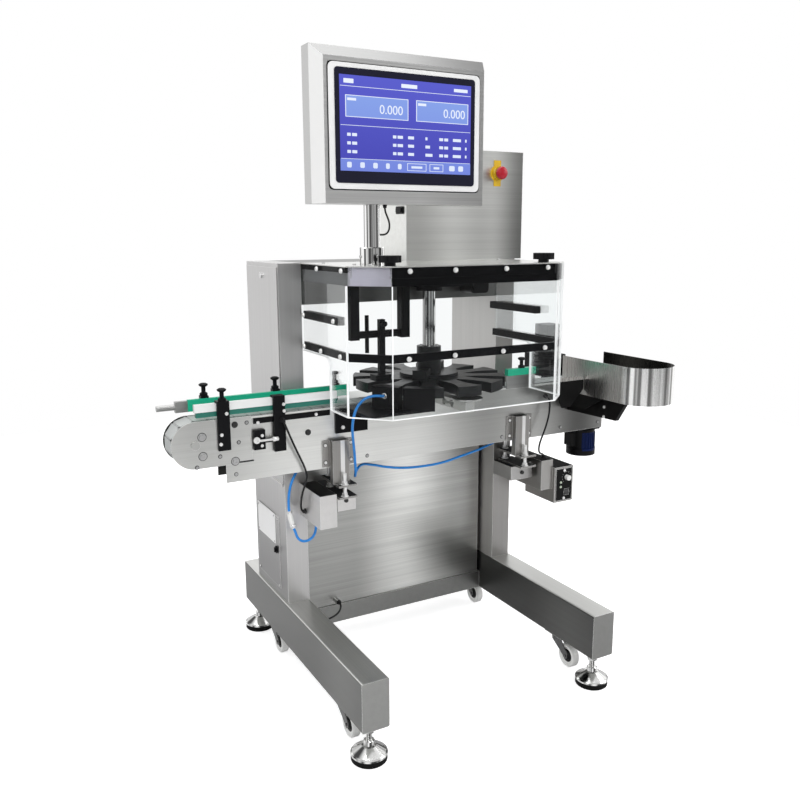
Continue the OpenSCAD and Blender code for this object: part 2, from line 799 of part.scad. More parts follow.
module rail_strips() {
    color("mediumseagreen")
        in_frame() {
            block([rail_x0 + 4, rail_front_y, rail_z - rail_h - strip_h],
                [front_rail_x1, rail_front_y + rail_t, rail_z - rail_h]);
            block([rail_x0, rail_rear_y - 4, rail_z - rail_h - rear_drop],
                [rear_rail_x1, rail_rear_y + rail_t / 2, rail_z + strip_proud]);
            block([outfeed_x[0], plate_y - 6, rail_z - rear_drop],
                [outfeed_x[1], plate_y + rail_t, rail_z + outfeed_rise]);
        }
}

// Clamp knob with a waist, standing on its seat
module clamp_knob(x, y, z) {
    translate([x, y, z])
        rotate_extrude()
            polygon([[0, 0], [11, 0], [11, 7], [6, 10], [6, 24], [12, 28], [13, 32], [8, 35], [0, 36]]);
}

front_bracket_x = [-624, -464];
front_bracket_y = [plate_y - plate_t - 8, plate_y - plate_t - 9];
front_bracket_drop = [132, 154];
front_bracket_t = 8;
rear_bracket_x = [-650, -440, -250];
rear_bracket_drop = 102;
strip_proud = 3;
knob_seat = 6;
brace_x = [-538, -306];
brace_t = 4;
brace_h = 16;
tensioner_x = [-541, -508];
tensioner_t = 12;
tensioner_z = [plate_z1 - 90, plate_z1 - 34];
tensioner_r = 5;

// Strap on the lane's front plate, bent over the rail
module front_bracket(x, y, drop) {
    block([x - bracket_w / 2, y, rail_z - drop], [x + bracket_w / 2, y + front_bracket_t, rail_z]);
    block([x - bracket_w / 2, y, rail_z],
        [x + bracket_w / 2, rail_front_y + rail_t, rail_z + knob_seat]);
}

// Strap on the lane's rear plate, bent over the rear rail, with its clamp knob
module rear_bracket(x) {
    y = plate_y1 + (x < head_x1 ? plate_t : 0);
    seat_z = rail_z + strip_proud;
    block([x - rear_bracket_w / 2, y, rail_z - rear_bracket_drop],
        [x + rear_bracket_w / 2, y + bracket_t, seat_z]);
    block([x - rear_bracket_w / 2, rail_rear_y, seat_z],
        [x + rear_bracket_w / 2, y + bracket_t, seat_z + knob_seat]);
    clamp_knob(x, rail_rear_y + rail_t, seat_z + knob_seat);
}

module rail_brackets() {
    color("black")
        in_frame() {
            for (i = [0, 1])
                front_bracket(front_bracket_x[i], front_bracket_y[i], front_bracket_drop[i]);
            clamp_knob(front_bracket_x[0], rail_front_y - 4, rail_z + knob_seat);
            block([brace_x[0], plate_y - brace_t, plate_z1 - brace_h], [brace_x[1], plate_y, plate_z1]);
            block([tensioner_x[0], plate_y - tensioner_t, tensioner_z[0]],
                [tensioner_x[1], plate_y, tensioner_z[1]]);
            rod_x(tensioner_x[1] - weld, front_bracket_x[1] - bracket_w / 2 - 1,
                plate_y - tensioner_t / 2 - 1, tensioner_z[0] + 22, tensioner_r);
            for (x = rear_bracket_x)
                rear_bracket(x);
            clamp_knob(outfeed_x[0] + outfeed_l / 2 + 5, plate_y + 5, rail_z + outfeed_rise);
        }
}

// Supports under the lane

// Two arms from the cabinet and the right tower, and the air box on the left tower's front
air_box_x = [-370, -317];
air_box_y = 374;
air_box_z = [541, 641];
module support_arms() {
    color("silver")
        in_frame() {
            folded_box([arm_x[0][0], arm_y, arm_z - arm_h], [arm_x[0][1], deck_y - door_t, arm_z], sheet_t);
            folded_box([arm_x[1][0], arm_y, arm_z - arm_h], [arm_x[1][1], tower_y, arm_z], sheet_t);
            folded_box([air_box_x[0], air_box_y, air_box_z[0]],
                [air_box_x[1], tower_y, air_box_z[1]], sheet_t);
        }
}

hat_rise = 84;
hat_top = plate_z0 + hat_rise;
bolt_r = 6;
bolt_dx = 5;
bolt_out = 10;
bolt_up = 34;
bolt_nut_h = 9;
bolt_nut_r = 9.5;
level_w = 60;
level_dx = 12;
level_front = 22;
level_rear = 90;
hat_t = 3;
module hat_bracket(x) {
    difference() {
        block([x - hat_w / 2, plate_y - hat_d, level_z1 + level_t - weld],
            [x + hat_w / 2, plate_y, hat_top]);
        block([x - hat_w / 2 + hat_t, plate_y - hat_d + hat_t, level_z1],
            [x + hat_w / 2 - hat_t, plate_y + 1, hat_top + 1]);
    }
    for (s = [-1, 1])
        translate([x + s * (hat_w / 2 + hat_flange / 2 - weld), plate_y - hat_t / 2,
            (hat_top + plate_z0 + 4) / 2])
            cube([hat_flange + weld, hat_t, hat_top - plate_z0 - 4], center = true);
}

module support_brackets() {
    color("silver")
        in_frame()
            for (x = hat_x) {
                for (z = [arm_z, level_z1])
                    block([x + level_dx - level_w / 2, plate_y - hat_d - level_front, z],
                        [x + level_dx + level_w / 2, plate_y + level_rear, z + level_t]);
                hat_bracket(x);
                for (dy = [-hat_d - bolt_out, level_rear - bolt_out]) {
                    rod_z(x + bolt_dx, plate_y + dy, arm_z, level_z1 + level_t + bolt_up, bolt_r);
                    for (z = [level_z0, level_z1 + level_t])
                        translate([x + bolt_dx, plate_y + dy, z])
                            cylinder(h = bolt_nut_h, r = bolt_nut_r, $fn = 6);
                }
            }
}

box_x = arm_x[1][1] + 61;
box_y = 380;
box_z = [478, 602];
box_w = 80;
box_d = 160;
panel_rim = 6;
speed_x = box_x + 50;
rocker_w = 16;
rocker_x = box_x + 44;
rocker_slot = [20, 22];
junction_x = arm_x[1][1] + 13;
junction_y = box_y + 12;
junction_z = [527, 630];
spacer_y = 450;
panel_proud = 2;
knob_shaft_r = 3;
rocker_pin_r = 1.4;
speed_z = box_z[0] + 86;
rocker_z = box_z[0] + 34;
module control_box() {
    color("silver")
        in_frame() {
            difference() {
                union() {
                    folded_box([box_x, box_y, box_z[0]], [box_x + box_w, box_y + box_d, box_z[1]], sheet_t);
                    block([box_x + panel_rim, box_y - panel_proud, box_z[0] + panel_rim],
                        [box_x + box_w - panel_rim, box_y + weld, box_z[1] - panel_rim]);
                }
                rod_y(speed_x, box_y - 9, box_y + 9, speed_z, knob_shaft_r + run_gap);
                translate([rocker_x + rocker_w / 2, box_y, rocker_z])
                    cube([rocker_slot[0], 18, rocker_slot[1]], center = true);
                rod_x(rocker_x - 5, rocker_x + rocker_w + 5, box_y, rocker_z, rocker_pin_r + run_gap);
            }
            folded_box([junction_x, junction_y, junction_z[0]], [box_x, tower_y, junction_z[1]], sheet_t);
            block([arm_x[1][1], spacer_y, arm_z - arm_h], [junction_x + weld, tower_y, arm_z]);
        }
}

speed_y = box_y - panel_proud - slip_gap;
speed_l = 14;
speed_r = 9;
module speed_knob() {
    color("white")
        in_frame() {
            rod_y(speed_x, speed_y - speed_l, speed_y, speed_z, speed_r);
            rod_y(speed_x, speed_y - speed_l / 2, box_y + 8, speed_z, knob_shaft_r);
            block([speed_x - 1, speed_y - speed_l - 1, speed_z],
                [speed_x + 1, speed_y - speed_l + 1, speed_z + speed_r - 1]);
        }
}

rocker_pivot = box_y;
module power_rocker() {
    color("black")
        in_frame()
            union() {
                translate([rocker_x, rocker_pivot, rocker_z])
                    rotate([90, 0, 90])
                        linear_extrude(rocker_w)
                            polygon([[4, -8], [4, 8], [-1, 9], [-3.5, 8.5], [-2.5, 0], [-5, -8.5], [-2, -9]]);
                rod_x(rocker_x - 4.5, rocker_x + rocker_w + 4.5, rocker_pivot, rocker_z, rocker_pin_r);
            }
}

// Guard hood

notch_y = 338;
notch_r = 24;
notch_z = mid_z - 4;
module guard_panels() {
    color("azure", 0.3)
        in_frame()
            difference() {
                guard_wall(0, panel_t, guard_z, roof_z);
                for (x = [-tower_in - 1, tower_in - panel_t - 1]) {
                    block([x, notch_y + notch_r, guard_z - 1], [x + panel_t + 2, tower_y + 1, notch_z]);
                    block([x, notch_y, guard_z - 1], [x + panel_t + 2, tower_y + 1, notch_z - notch_r]);
                    rod_x(x, x + panel_t + 2, notch_y + notch_r, notch_z - notch_r, notch_r);
                }
            }
}

stay_h = 22;
stay_w = 20;
stay_y = 290;
stay_z = 1140;
top_bar_h = 28;
skirt_h = 20;
module guard_bars() {
    color("black")
        in_frame() {
            guard_wall(panel_t, panel_t + bar_t, roof_z - top_bar_h, roof_z);
            guard_wall(panel_t, panel_t + bar_t / 2, roof_z - top_bar_h - skirt_h, roof_z - top_bar_h);
            guard_wall(panel_t, panel_t + bar_t, mid_z, mid_z + mid_h);
            for (s = [-1, 1])
                block([s > 0 ? tower_in - panel_t - stay_w : -tower_in + panel_t, stay_y, stay_z],
                    [s > 0 ? tower_in - panel_t : -tower_in + panel_t + stay_w, tower_y, stay_z + stay_h]);
        }
}

roof_knob_at = [[-237, guard_y + 52], [257, guard_y + 43]];
knob_pin_r = 6;
module guard_roof() {
    color("whitesmoke")
        in_frame()
            difference() {
                translate([0, 0, roof_z])
                    linear_extrude(roof_t)
                        polygon(guard_plan);
                for (p = roof_knob_at)
                    rod_z(p[0], p[1], roof_z - 1, tower_top + 1, knob_pin_r + run_gap);
            }
}

// Hand knob with three lobes on a threaded pin
module roof_knob(p) {
    color("black")
        in_frame()
            translate([p[0], p[1], tower_top + slip_gap]) {
                cylinder(h = 8, r = 15);
                translate([0, 0, 8])
                    linear_extrude(18)
                        difference() {
                            circle(knob_r);
                            for (k = [0:5])
                                rotate(60 * k)
                                    translate([knob_r + 3, 0])
                                        circle(8);
                        }
                translate([0, 0, -roof_t - 12])
                    cylinder(h = roof_t + 14, r = knob_pin_r);
            }
}
module roof_knob_left() { roof_knob(roof_knob_at[0]); }
module roof_knob_right() { roof_knob(roof_knob_at[1]); }

// Star wheel and weighing

drive_z = 1222;
flange_h = 12;
module star_drive() {
    color("black")
        in_frame()
            difference() {
                union() {
                    translate([star_x + 45, lane_y - 3, drive_z])
                        linear_extrude(roof_z - drive_z)
                            rounded_rect(190, 90, 14);
                    rod_z(star_x, lane_y, drive_z - flange_h, drive_z + weld, 42);
                }
                rod_z(star_x, lane_y, drive_z - flange_h - 1, drive_z + 45, star_shaft_r + run_gap);
            }
}

module star_shaft() {
    color("silver")
        in_frame()
            union() {
                rod_z(star_x, lane_y, star_z - 5, drive_z + 42, star_shaft_r);
                rod_z(star_x, lane_y, star_z - 5, star_z, star_shaft_r + 12);
            }
}

// Pockets are leaves: the overlap of two large circles
leaf_r = (pocket_l * pocket_l + pocket_w * pocket_w) / (2 * pocket_w);
module leaf() {
    intersection() {
        translate([0, leaf_r - pocket_w])
            circle(leaf_r, $fn = 96);
        translate([0, pocket_w - leaf_r])
            circle(leaf_r, $fn = 96);
    }
}

module star_wheel() {
    color("black")
        in_frame()
            translate([star_x, lane_y, 0])
                difference() {
                    union() {
                        translate([0, 0, star_z])
                            linear_extrude(star_t)
                                difference() {
                                    circle(star_r, $fn = 120);
                                    for (k = [0:pockets - 1])
                                        rotate((k + 0.5) * 360 / pockets)
                                            translate([pocket_at, 0])
                                                leaf();
                                }
                        translate([0, 0, star_top - weld])
                            cylinder(h = 12, r = 92);
                        translate([0, 0, star_top])
                            cylinder(h = hub_h, r = hub_r);
                        for (a = [45, 225])
                            rotate(a)
                                translate([64, -22, star_top])
                                    cube([50, 44, 30]);
                    }
                    translate([0, 0, star_z - 1])
                        cylinder(h = star_t + hub_h + 2, r = star_shaft_r + run_gap);
                }
}

guide_gap = 5;
guide_w = 34;
module guide_arc(a0, a1, z0, z1) {
    translate([star_x, lane_y, z0])
        intersection() {
            difference() {
                cylinder(h = z1 - z0, r = star_r + guide_gap + guide_w, $fn = 96);
                translate([0, 0, -1])
                    cylinder(h = z1 - z0 + 2, r = star_r + guide_gap, $fn = 96);
            }
            linear_extrude(z1 - z0)
                polygon([[0, 0], 400 * [cos(a0), sin(a0)], 400 * [cos(a1), sin(a1)]]);
        }
}

guide_foot_t = 6;
guide_foot_z = plate_z1 + guide_foot_t;
guide_foot_x = [-289, -66];
guide_foot_y = 262;
guide_notch = [27, 138];
guide_leg_x = -185;
guide_leg_h = 80;
guide_angles = [[203, 221], [224, 243]];
module star_guides() {
    color("black")
        in_frame() {
            for (a = guide_angles)
                guide_arc(a[0], a[1], guide_foot_z, star_top + guide_foot_t);
            difference() {
                block([guide_foot_x[0], guide_foot_y, plate_z1], [guide_foot_x[1], plate_y, guide_foot_z]);
                block([guide_foot_x[0] - 1, guide_foot_y - 1, plate_z1 - 1],
                    [guide_foot_x[0] + guide_notch[0], guide_foot_y + guide_notch[1], guide_foot_z + 1]);
            }
            block([guide_foot_x[0], plate_y - guide_foot_t, guide_foot_z - guide_leg_h],
                [guide_leg_x, plate_y, guide_foot_z]);
        }
}

// Two posts under the roof with a cross bar, which carries the product sensor
bridge_x = [-234, -68];
sensor_y = 420;
post_w = 28;
post_z = 1080;
cross_bar_h = 20;
cross_bar_t = 16;
sensor_x = -151;
sensor_w = 18;
sensor_z = [976, 1138];
sensor_foot = [50, 40, 18];
sensor_rod_r = 6;
sensor_knob_r = 8;
module sensor_bridge() {
    color("black")
        in_frame() {
            for (x = bridge_x)
                block([x - post_w / 2, sensor_y - post_w / 2, post_z],
                    [x + post_w / 2, sensor_y + post_w / 2, roof_z]);
            block([bridge_x[0], sensor_y - cross_bar_t / 2, post_z + 4],
                [bridge_x[1], sensor_y + cross_bar_t / 2, post_z + 4 + cross_bar_h]);
            block([sensor_x - sensor_w / 2, sensor_y - 24, sensor_z[0]],
                [sensor_x + sensor_w / 2, sensor_y - cross_bar_t / 2, sensor_z[1]]);
            rod_y(sensor_x, sensor_y - 40, sensor_y - 8, sensor_z[1] - 12, sensor_knob_r);
            rod_z(sensor_x - 39, sensor_y, sensor_z[0] + 64, sensor_z[1] + 12, sensor_rod_r);
            translate([sensor_x, sensor_y - 10, sensor_z[0] - sensor_foot[2] / 2])
                cube(sensor_foot, center = true);
        }
}

weigh_y = lane_y - pocket_at - 20;
cell_w = 30;
cell_z = [868, 898];
cell_mid = (cell_z[0] + cell_z[1]) / 2;
cell_hole_r = 11;
cell_holes = [weigh_y + 60, weigh_y + 104];
pan_r = 46;
pan_t = 4;
pan_gap = 6;
module load_cell() {
    color("silver")
        in_frame()
            difference() {
                block([star_x - cell_w / 2, weigh_y - 16, cell_z[0]],
                    [star_x + cell_w / 2, plate_y, cell_z[1]]);
                for (y = cell_holes)
                    rod_x(star_x - cell_w, star_x + cell_w, y, cell_mid, cell_hole_r);
                block([star_x - cell_w, cell_holes[0], cell_mid - 4],
                    [star_x + cell_w, cell_holes[1], cell_mid + 4]);
            }
}

module weigh_platform() {
    color("silver")
        in_frame() {
            rod_z(star_x, weigh_y, cell_z[1], star_z - pan_gap, 12);
            rod_z(star_x, weigh_y, star_z - pan_gap - pan_t, star_z - pan_gap, pan_r);
        }
}

// Display

spigot_r = 14;
spigot_l = 40;
module display_pole() {
    color("silver")
        in_frame()
            translate([pole_x, pole_y, tower_top])
                rotate_extrude()
                    polygon([[0, 0], [pole_r + 12, 0], [pole_r + 12, 44], [pole_r + 10, 46], [pole_r, 46],
                        [pole_r, pole_h], [spigot_r + run_gap, pole_h],
                        [spigot_r + run_gap, pole_h - spigot_l - 4], [0, pole_h - spigot_l - 4]]);
}

module display_housing() {
    color("gainsboro")
        in_frame()
            difference() {
                translate([screen_x0, screen_y, screen_z0])
                    union() {
                        translate([0, bevel_d, 0])
                            cube([screen_w, screen_d - bevel_d, screen_h]);
                        hull() {
                            translate([0, bevel_d, 0])
                                cube([screen_w, weld, screen_h]);
                            translate([bevel_w, 0, 0])
                                cube([screen_w - 2 * bevel_w, weld, screen_h - bevel_top]);
                        }
                        translate([pole_x - screen_x0, pole_y - screen_y, -spigot_l])
                            cylinder(h = spigot_l + 1, r = spigot_r);
                    }
                block([glass_x[0] - glass_fit, screen_y - 1, glass_z[0] - glass_fit],
                    [glass_x[1] + glass_fit, screen_y + glass_t, glass_z[1] + glass_fit]);
                block([screen_x0 + bevel_w + sheet_t, screen_y + glass_t + sheet_t, screen_z0 + sheet_t],
                    [screen_x0 + screen_w - bevel_w - sheet_t, screen_y + bevel_d + 1,
                        screen_z0 + screen_h - bevel_top - sheet_t]);
                block([screen_x0 + sheet_t, screen_y + bevel_d, screen_z0 + sheet_t],
                    [screen_x0 + screen_w - sheet_t, screen_y + screen_d - sheet_t,
                        screen_z0 + screen_h - sheet_t]);
            }
}

glass_x = [screen_x0 + glass_left, screen_x0 + glass_left + glass_w];
glass_z = [screen_z0 + glass_low, screen_z0 + glass_low + glass_h];
glass_t = 6;
glass_fit = 0.2;
glass_proud = 3;
glass_r = 14;
module display_screen() {
    color("midnightblue")
        in_frame()
            translate([(glass_x[0] + glass_x[1]) / 2, screen_y + glass_t, (glass_z[0] + glass_z[1]) / 2])
                rotate([90, 0, 0])
                    linear_extrude(glass_t + glass_proud)
                        rounded_rect(glass_w, glass_h, glass_r);
}

// Emergency stop

estop_x = upper_x1 - 101;
estop_z = tower_top + 269;
estop_run = 4;
module estop_base() {
    color("gold")
        in_frame()
            difference() {
                union() {
                    rod_y(estop_x, upper_y - 2, upper_y, estop_z, 26);
                    block([estop_x - 13, upper_y - 2, estop_z - 40], [estop_x + 13, upper_y, estop_z + 40]);
                    rod_y(estop_x, upper_y - 16, upper_y, estop_z, 21);
                }
                rod_y(estop_x, upper_y - 17, upper_y - 0.5, estop_z, 14);
            }
}

module estop_button() {
    color("red")
        in_frame()
            translate([estop_x, upper_y - 16 - estop_run - slip_gap, estop_z])
                rotate([90, 0, 0])
                    rotate_extrude()
                        polygon([[0, -14], [13.5, -14], [13.5, 0], [19, 0], [20, 3], [20, 8], [17, 13],
                            [9, 16], [0, 17]]);
}

// Reject unit

pusher_w = 68;
pusher_t = 9;
pusher_z = [896, 948];
cyl_y0 = plate_y1 + 12;
cyl_w = 92;
cyl_d = 116;
cyl_z = [884, 960];
valve_w = 60;
valve_d = 72;
valve_h = 106;
mount_t = 6;
mount_z = 820;
shelf_t = 12;
push_rod_dx = 22;
push_rod_r = 7;
push_rod_l = 108;
push_rod_z = 922;
module reject_cylinder() {
    color("dimgray")
        in_frame()
            difference() {
                union() {
                    block([pusher_x - cyl_w / 2, cyl_y0, cyl_z[0]],
                        [pusher_x + cyl_w / 2, cyl_y0 + cyl_d, cyl_z[1]]);
                    block([pusher_x - valve_w / 2, cyl_y0 + 8, cyl_z[1]],
                        [pusher_x + valve_w / 2, cyl_y0 + 8 + valve_d, cyl_z[1] + valve_h]);
                    block([pusher_x - cyl_w / 2, plate_y1, mount_z],
                        [pusher_x + valve_w / 2, plate_y1 + mount_t, cyl_z[0] + mount_t]);
                    block([pusher_x - cyl_w / 2, plate_y1, cyl_z[0] + mount_t - shelf_t],
                        [pusher_x + cyl_w / 2, cyl_y0 + 20, cyl_z[0] + mount_t]);
                }
                for (s = [-1, 1])
                    rod_y(pusher_x + s * push_rod_dx, cyl_y0 - 1, cyl_y0 + push_rod_l + 4, push_rod_z,
                        push_rod_r + run_gap);
            }
}

module reject_pusher() {
    color("gainsboro")
        in_frame() {
            block([pusher_x - pusher_w / 2, plate_y1 + mount_t - pusher_t, pusher_z[0]],
                [pusher_x + pusher_w / 2, plate_y1 + mount_t, pusher_z[1]]);
            for (s = [-1, 1])
                rod_y(pusher_x + s * push_rod_dx, plate_y1 + mount_t - weld, cyl_y0 + push_rod_l,
                    push_rod_z, push_rod_r);
        }
}

module bin_plan(inset) {
    translate([bin_x0 + bin_r, bin_y + bin_r])
        circle(bin_r - inset, $fn = 96);
    translate([bin_x0 + inset, bin_y + bin_r])
        square([bin_w - 2 * inset, plate_y - bin_y - bin_r + (inset > 0 ? 1 : 0)]);
}

gusset_z = 810;
gusset_l = 118;
bracket_x = bin_x0 + 28;
bracket_plate_t = 14;
bracket_drop = [74, 68];
wing_y = 328;
wing_t = 3;
wing_flange = 14;
wing_x = [456, bin_x0 + weld];
wing_z = [822, 920];

// Upright plate along the lane: an outline of (x, z) points, t thick along Y
module plate_xz(y, t, points) {
    translate([0, y + t, 0])
        rotate([90, 0, 0])
            linear_extrude(t)
                polygon(points);
}

module reject_bin() {
    color("silver")
        in_frame() {
            translate([0, 0, bin_z0])
                linear_extrude(bin_h)
                    difference() {
                        bin_plan(0);
                        bin_plan(bin_t);
                    }
            translate([0, 0, bin_z0])
                linear_extrude(bin_t)
                    bin_plan(0);
            plate_yz(bin_x0, bin_t, [[plate_y, bin_z0 + 1], [plate_y, gusset_z],
                [plate_y - gusset_l, gusset_z], [bin_y + 172, bin_z0 + 1]]);
            plate_yz(bracket_x, bracket_plate_t, [[plate_y, bin_z0 + weld],
                [plate_y, bin_z0 - bracket_drop[0]], [bin_y + 140, bin_z0 - bracket_drop[1]],
                [bin_y + 96, bin_z0 + weld]]);
            plate_xz(wing_y, wing_t, [[wing_x[0], wing_z[1]], [wing_x[0] + 6, wing_z[0] + 18],
                [wing_x[0] + 14, wing_z[0]], [wing_x[0] + 50, wing_z[0]], [wing_x[1], wing_z[1] - 40],
                [wing_x[1], wing_z[1] - 12], [wing_x[1] - 12, wing_z[1]]]);
            block([wing_x[0], wing_y + wing_t - weld, wing_z[1] - wing_t],
                [wing_x[1] - 12, wing_y + wing_flange, wing_z[1]]);
        }
}

// Cords

module air_tube() {
    color("dodgerblue")
        in_frame()
            tube(air_tube_route, hose_r, [0.2, 1, 0]);
}

module air_loop() {
    color("dodgerblue")
        in_frame()
            tube(air_loop_route, hose_r, [0.1, 1, 0]);
}

module sensor_cable() {
    color("black")
        in_frame()
            tube(sensor_route, cable_r, [1, 0.3, 0]);
}

module drive_cable() {
    color("black")
        in_frame()
            tube(drive_route, cable_r, [1, 0.4, 0]);
}

module screen_cable() {
    color("black")
        in_frame()
            tube(screen_route, screen_cable_r, [0, 1, 0]);
}

module gland_cable() {
    color("black")
        in_frame()
            tube(gland_route, cable_r, [0, 0.1, 1]);
}

base_frame();
tower_left();
tower_right();
bridge_box();
centre_cabinet();
upper_cabinet();
foot_fl();
foot_fr();
foot_rl();
foot_rr();
caster_fork_fl();
caster_fork_fr();
caster_fork_rl();
caster_fork_rr();
caster_wheel_fl();
caster_wheel_fr();
caster_wheel_rl();
caster_wheel_rr();
conveyor_frame();
wear_strips();
slat_chain();
drive_sprocket();
tail_wheel();
gearmotor();
guide_rails();
rail_strips();
rail_brackets();
support_arms();
support_brackets();
control_box();
speed_knob();
power_rocker();
guard_panels();
guard_bars();
guard_roof();
roof_knob_left();
roof_knob_right();
star_drive();
star_shaft();
star_wheel();
star_guides();
sensor_bridge();
load_cell();
weigh_platform();
display_pole();
display_housing();
display_screen();
estop_base();
estop_button();
tower_cover();
cover_lock();
reject_cylinder();
reject_pusher();
reject_bin();
air_tube();
air_loop();
sensor_cable();
drive_cable();
screen_cable();
gland_cable();
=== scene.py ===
import math

import bmesh
import bpy
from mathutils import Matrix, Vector
from mathutils.geometry import interpolate_bezier


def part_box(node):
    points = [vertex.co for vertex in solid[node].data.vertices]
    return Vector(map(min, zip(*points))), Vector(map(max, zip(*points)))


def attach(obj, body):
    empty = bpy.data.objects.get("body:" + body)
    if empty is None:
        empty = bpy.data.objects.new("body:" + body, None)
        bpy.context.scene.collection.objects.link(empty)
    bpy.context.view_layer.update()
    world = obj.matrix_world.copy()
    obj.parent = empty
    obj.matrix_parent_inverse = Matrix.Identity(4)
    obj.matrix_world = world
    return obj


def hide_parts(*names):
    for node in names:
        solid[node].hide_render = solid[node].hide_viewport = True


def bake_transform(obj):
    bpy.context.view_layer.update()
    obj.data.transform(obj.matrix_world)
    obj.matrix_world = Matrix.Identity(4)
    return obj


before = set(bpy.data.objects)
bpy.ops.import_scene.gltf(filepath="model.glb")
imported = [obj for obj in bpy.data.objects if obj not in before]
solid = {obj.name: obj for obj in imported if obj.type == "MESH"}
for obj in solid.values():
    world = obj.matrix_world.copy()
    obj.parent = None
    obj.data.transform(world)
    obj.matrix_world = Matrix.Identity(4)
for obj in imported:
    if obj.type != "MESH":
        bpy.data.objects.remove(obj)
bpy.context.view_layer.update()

# The studio: a pale floor that keeps the machine's shadow, three large soft lights, and a world that is
# white behind the machine and greyer in front of it, so that the steel has something to mirror.
# A Socket holds one shader socket, and sums on it add Math nodes; a Finish is one material.


def sums(operation, swapped=False):
    def work(self, other):
        a, b = (other, self) if swapped else (self, other)
        return self.finish.node("Math", {"operation": operation}, {0: a, 1: b})
    return work


class Socket:
    def __init__(self, finish, socket):
        self.finish = finish
        self.socket = socket

    __add__, __radd__ = sums("ADD"), sums("ADD", True)
    __sub__, __rsub__ = sums("SUBTRACT"), sums("SUBTRACT", True)
    __mul__, __rmul__ = sums("MULTIPLY"), sums("MULTIPLY", True)
    __gt__, __lt__ = sums("GREATER_THAN"), sums("LESS_THAN")
    at_least, at_most = sums("MAXIMUM"), sums("MINIMUM")

    def __abs__(self):
        return self.finish.node("Math", {"operation": "ABSOLUTE"}, {0: self})


class Finish:
    def __init__(self, name, tree=None):
        if tree is None:
            self.material = bpy.data.materials.new(name)
            self.material.use_nodes = True
            tree = self.material.node_tree
        self.tree = tree
        self.tree.nodes.clear()

    def node(self, kind, settings=None, inputs=None, out=0):
        own = kind.startswith(("Geometry", "Function", "NodeGroup"))
        made = self.tree.nodes.new(kind if own else "ShaderNode" + kind)
        for name, value in (settings or {}).items():
            setattr(made, name, value)
        for name, value in (inputs or {}).items():
            if isinstance(value, Socket):
                value = [value]
            if isinstance(value, list) and isinstance(value[0], Socket):
                for each in value:
                    self.tree.links.new(each.socket, made.inputs[name])
            else:
                made.inputs[name].default_value = value
        return Socket(self, made.outputs[out]) if made.outputs else None

    def place(self, scale=(1, 1, 1)):
        where = self.node("TexCoord", out=3)
        return self.node("Mapping", {}, {"Vector": where, "Scale": scale})

    def noise(self, scale, size=1, detail=3):
        return self.node("TexNoise", {}, {"Vector": self.place(scale), "Scale": size, "Detail": detail})

    def fleck(self, size, detail=4):
        return self.noise((1, 1, 1), size, detail)

    def axis(self, name):
        return self.node("SeparateXYZ", {}, {0: self.node("TexCoord", out=3)}, out="XYZ".index(name))

    def way(self, axis):
        return self.node("SeparateXYZ", {}, {0: self.node("NewGeometry", out=1)}, out="XYZ".index(axis))

    def faces(self, axis, side, least=0.7):
        return self.way(axis) * side > least

    def edges(self, width):
        soft = self.node("Bevel", {"samples": 4}, {"Radius": width})
        flat = self.node("NewGeometry", out=3)
        return self.node("VectorMath", {"operation": "DOT_PRODUCT"}, {0: soft, 1: flat}, out=1) < 0.96

    def ramp(self, value, low, high, first=0.0, last=1.0, kind="LINEAR"):
        return self.node("MapRange", {"interpolation_type": kind},
                         {0: value, 1: low, 2: high, 3: first, 4: last})

    def mix(self, factor, a, b):
        return self.node("Mix", {"data_type": "RGBA"}, {0: factor, 6: a, 7: b}, out=2)

    def tone(self, factor, dark, light):
        return self.mix(factor, (*dark, 1), (*light, 1))

    def shaded(self, color, light_gain):
        return self.node("VectorMath", {"operation": "SCALE"}, {0: color, "Scale": light_gain})

    def surface(self, bump=None, height=0.0002, edge=0.0, **sockets):
        inputs = {key.replace("_", " ").title().replace("Ior", "IOR"): value
                  for key, value in sockets.items()}
        if bump is not None:
            relief = {"Strength": 1, "Distance": height, "Height": bump}
            if edge:
                relief["Normal"] = self.node("Bevel", {"samples": 4}, {"Radius": edge})
            inputs["Normal"] = self.node("Bump", {}, relief)
        shader = self.node("BsdfPrincipled", {}, inputs)
        self.node("OutputMaterial", {}, {"Surface": shader})
        return self.material


def put(name, data):
    made = bpy.data.objects.new(name, data)
    scene.collection.objects.link(made)
    return made


scene = bpy.context.scene
scene.view_settings.view_transform = "Standard"

floor_half = 4.0
floor_corners = [(x * floor_half, y * floor_half, 0) for x, y in ((-1, -1), (1, -1), (1, 1), (-1, 1))]
floor_mesh = bpy.data.meshes.new("floor")
floor_mesh.from_pydata(floor_corners, [], [(0, 1, 2, 3)])
floor = put("floor", floor_mesh)
floor_paint = Finish("floor_paint")
floor_seen = floor_paint.node("LightPath", out="Is Camera Ray")
floor_lit = floor_paint.node("BsdfDiffuse", {}, {"Color": (0.82, 0.82, 0.82, 1)})
floor_white = floor_paint.node("Emission", {}, {"Color": (1, 1, 1, 1), "Strength": 0.62})
floor_both = floor_paint.node("AddShader", {}, {0: floor_lit, 1: floor_white})
floor_shader = floor_paint.node("MixShader", {}, {0: floor_seen, 1: floor_lit, 2: floor_both})
floor_paint.node("OutputMaterial", {}, {"Surface": floor_shader})
floor_mesh.materials.append(floor_paint.material)

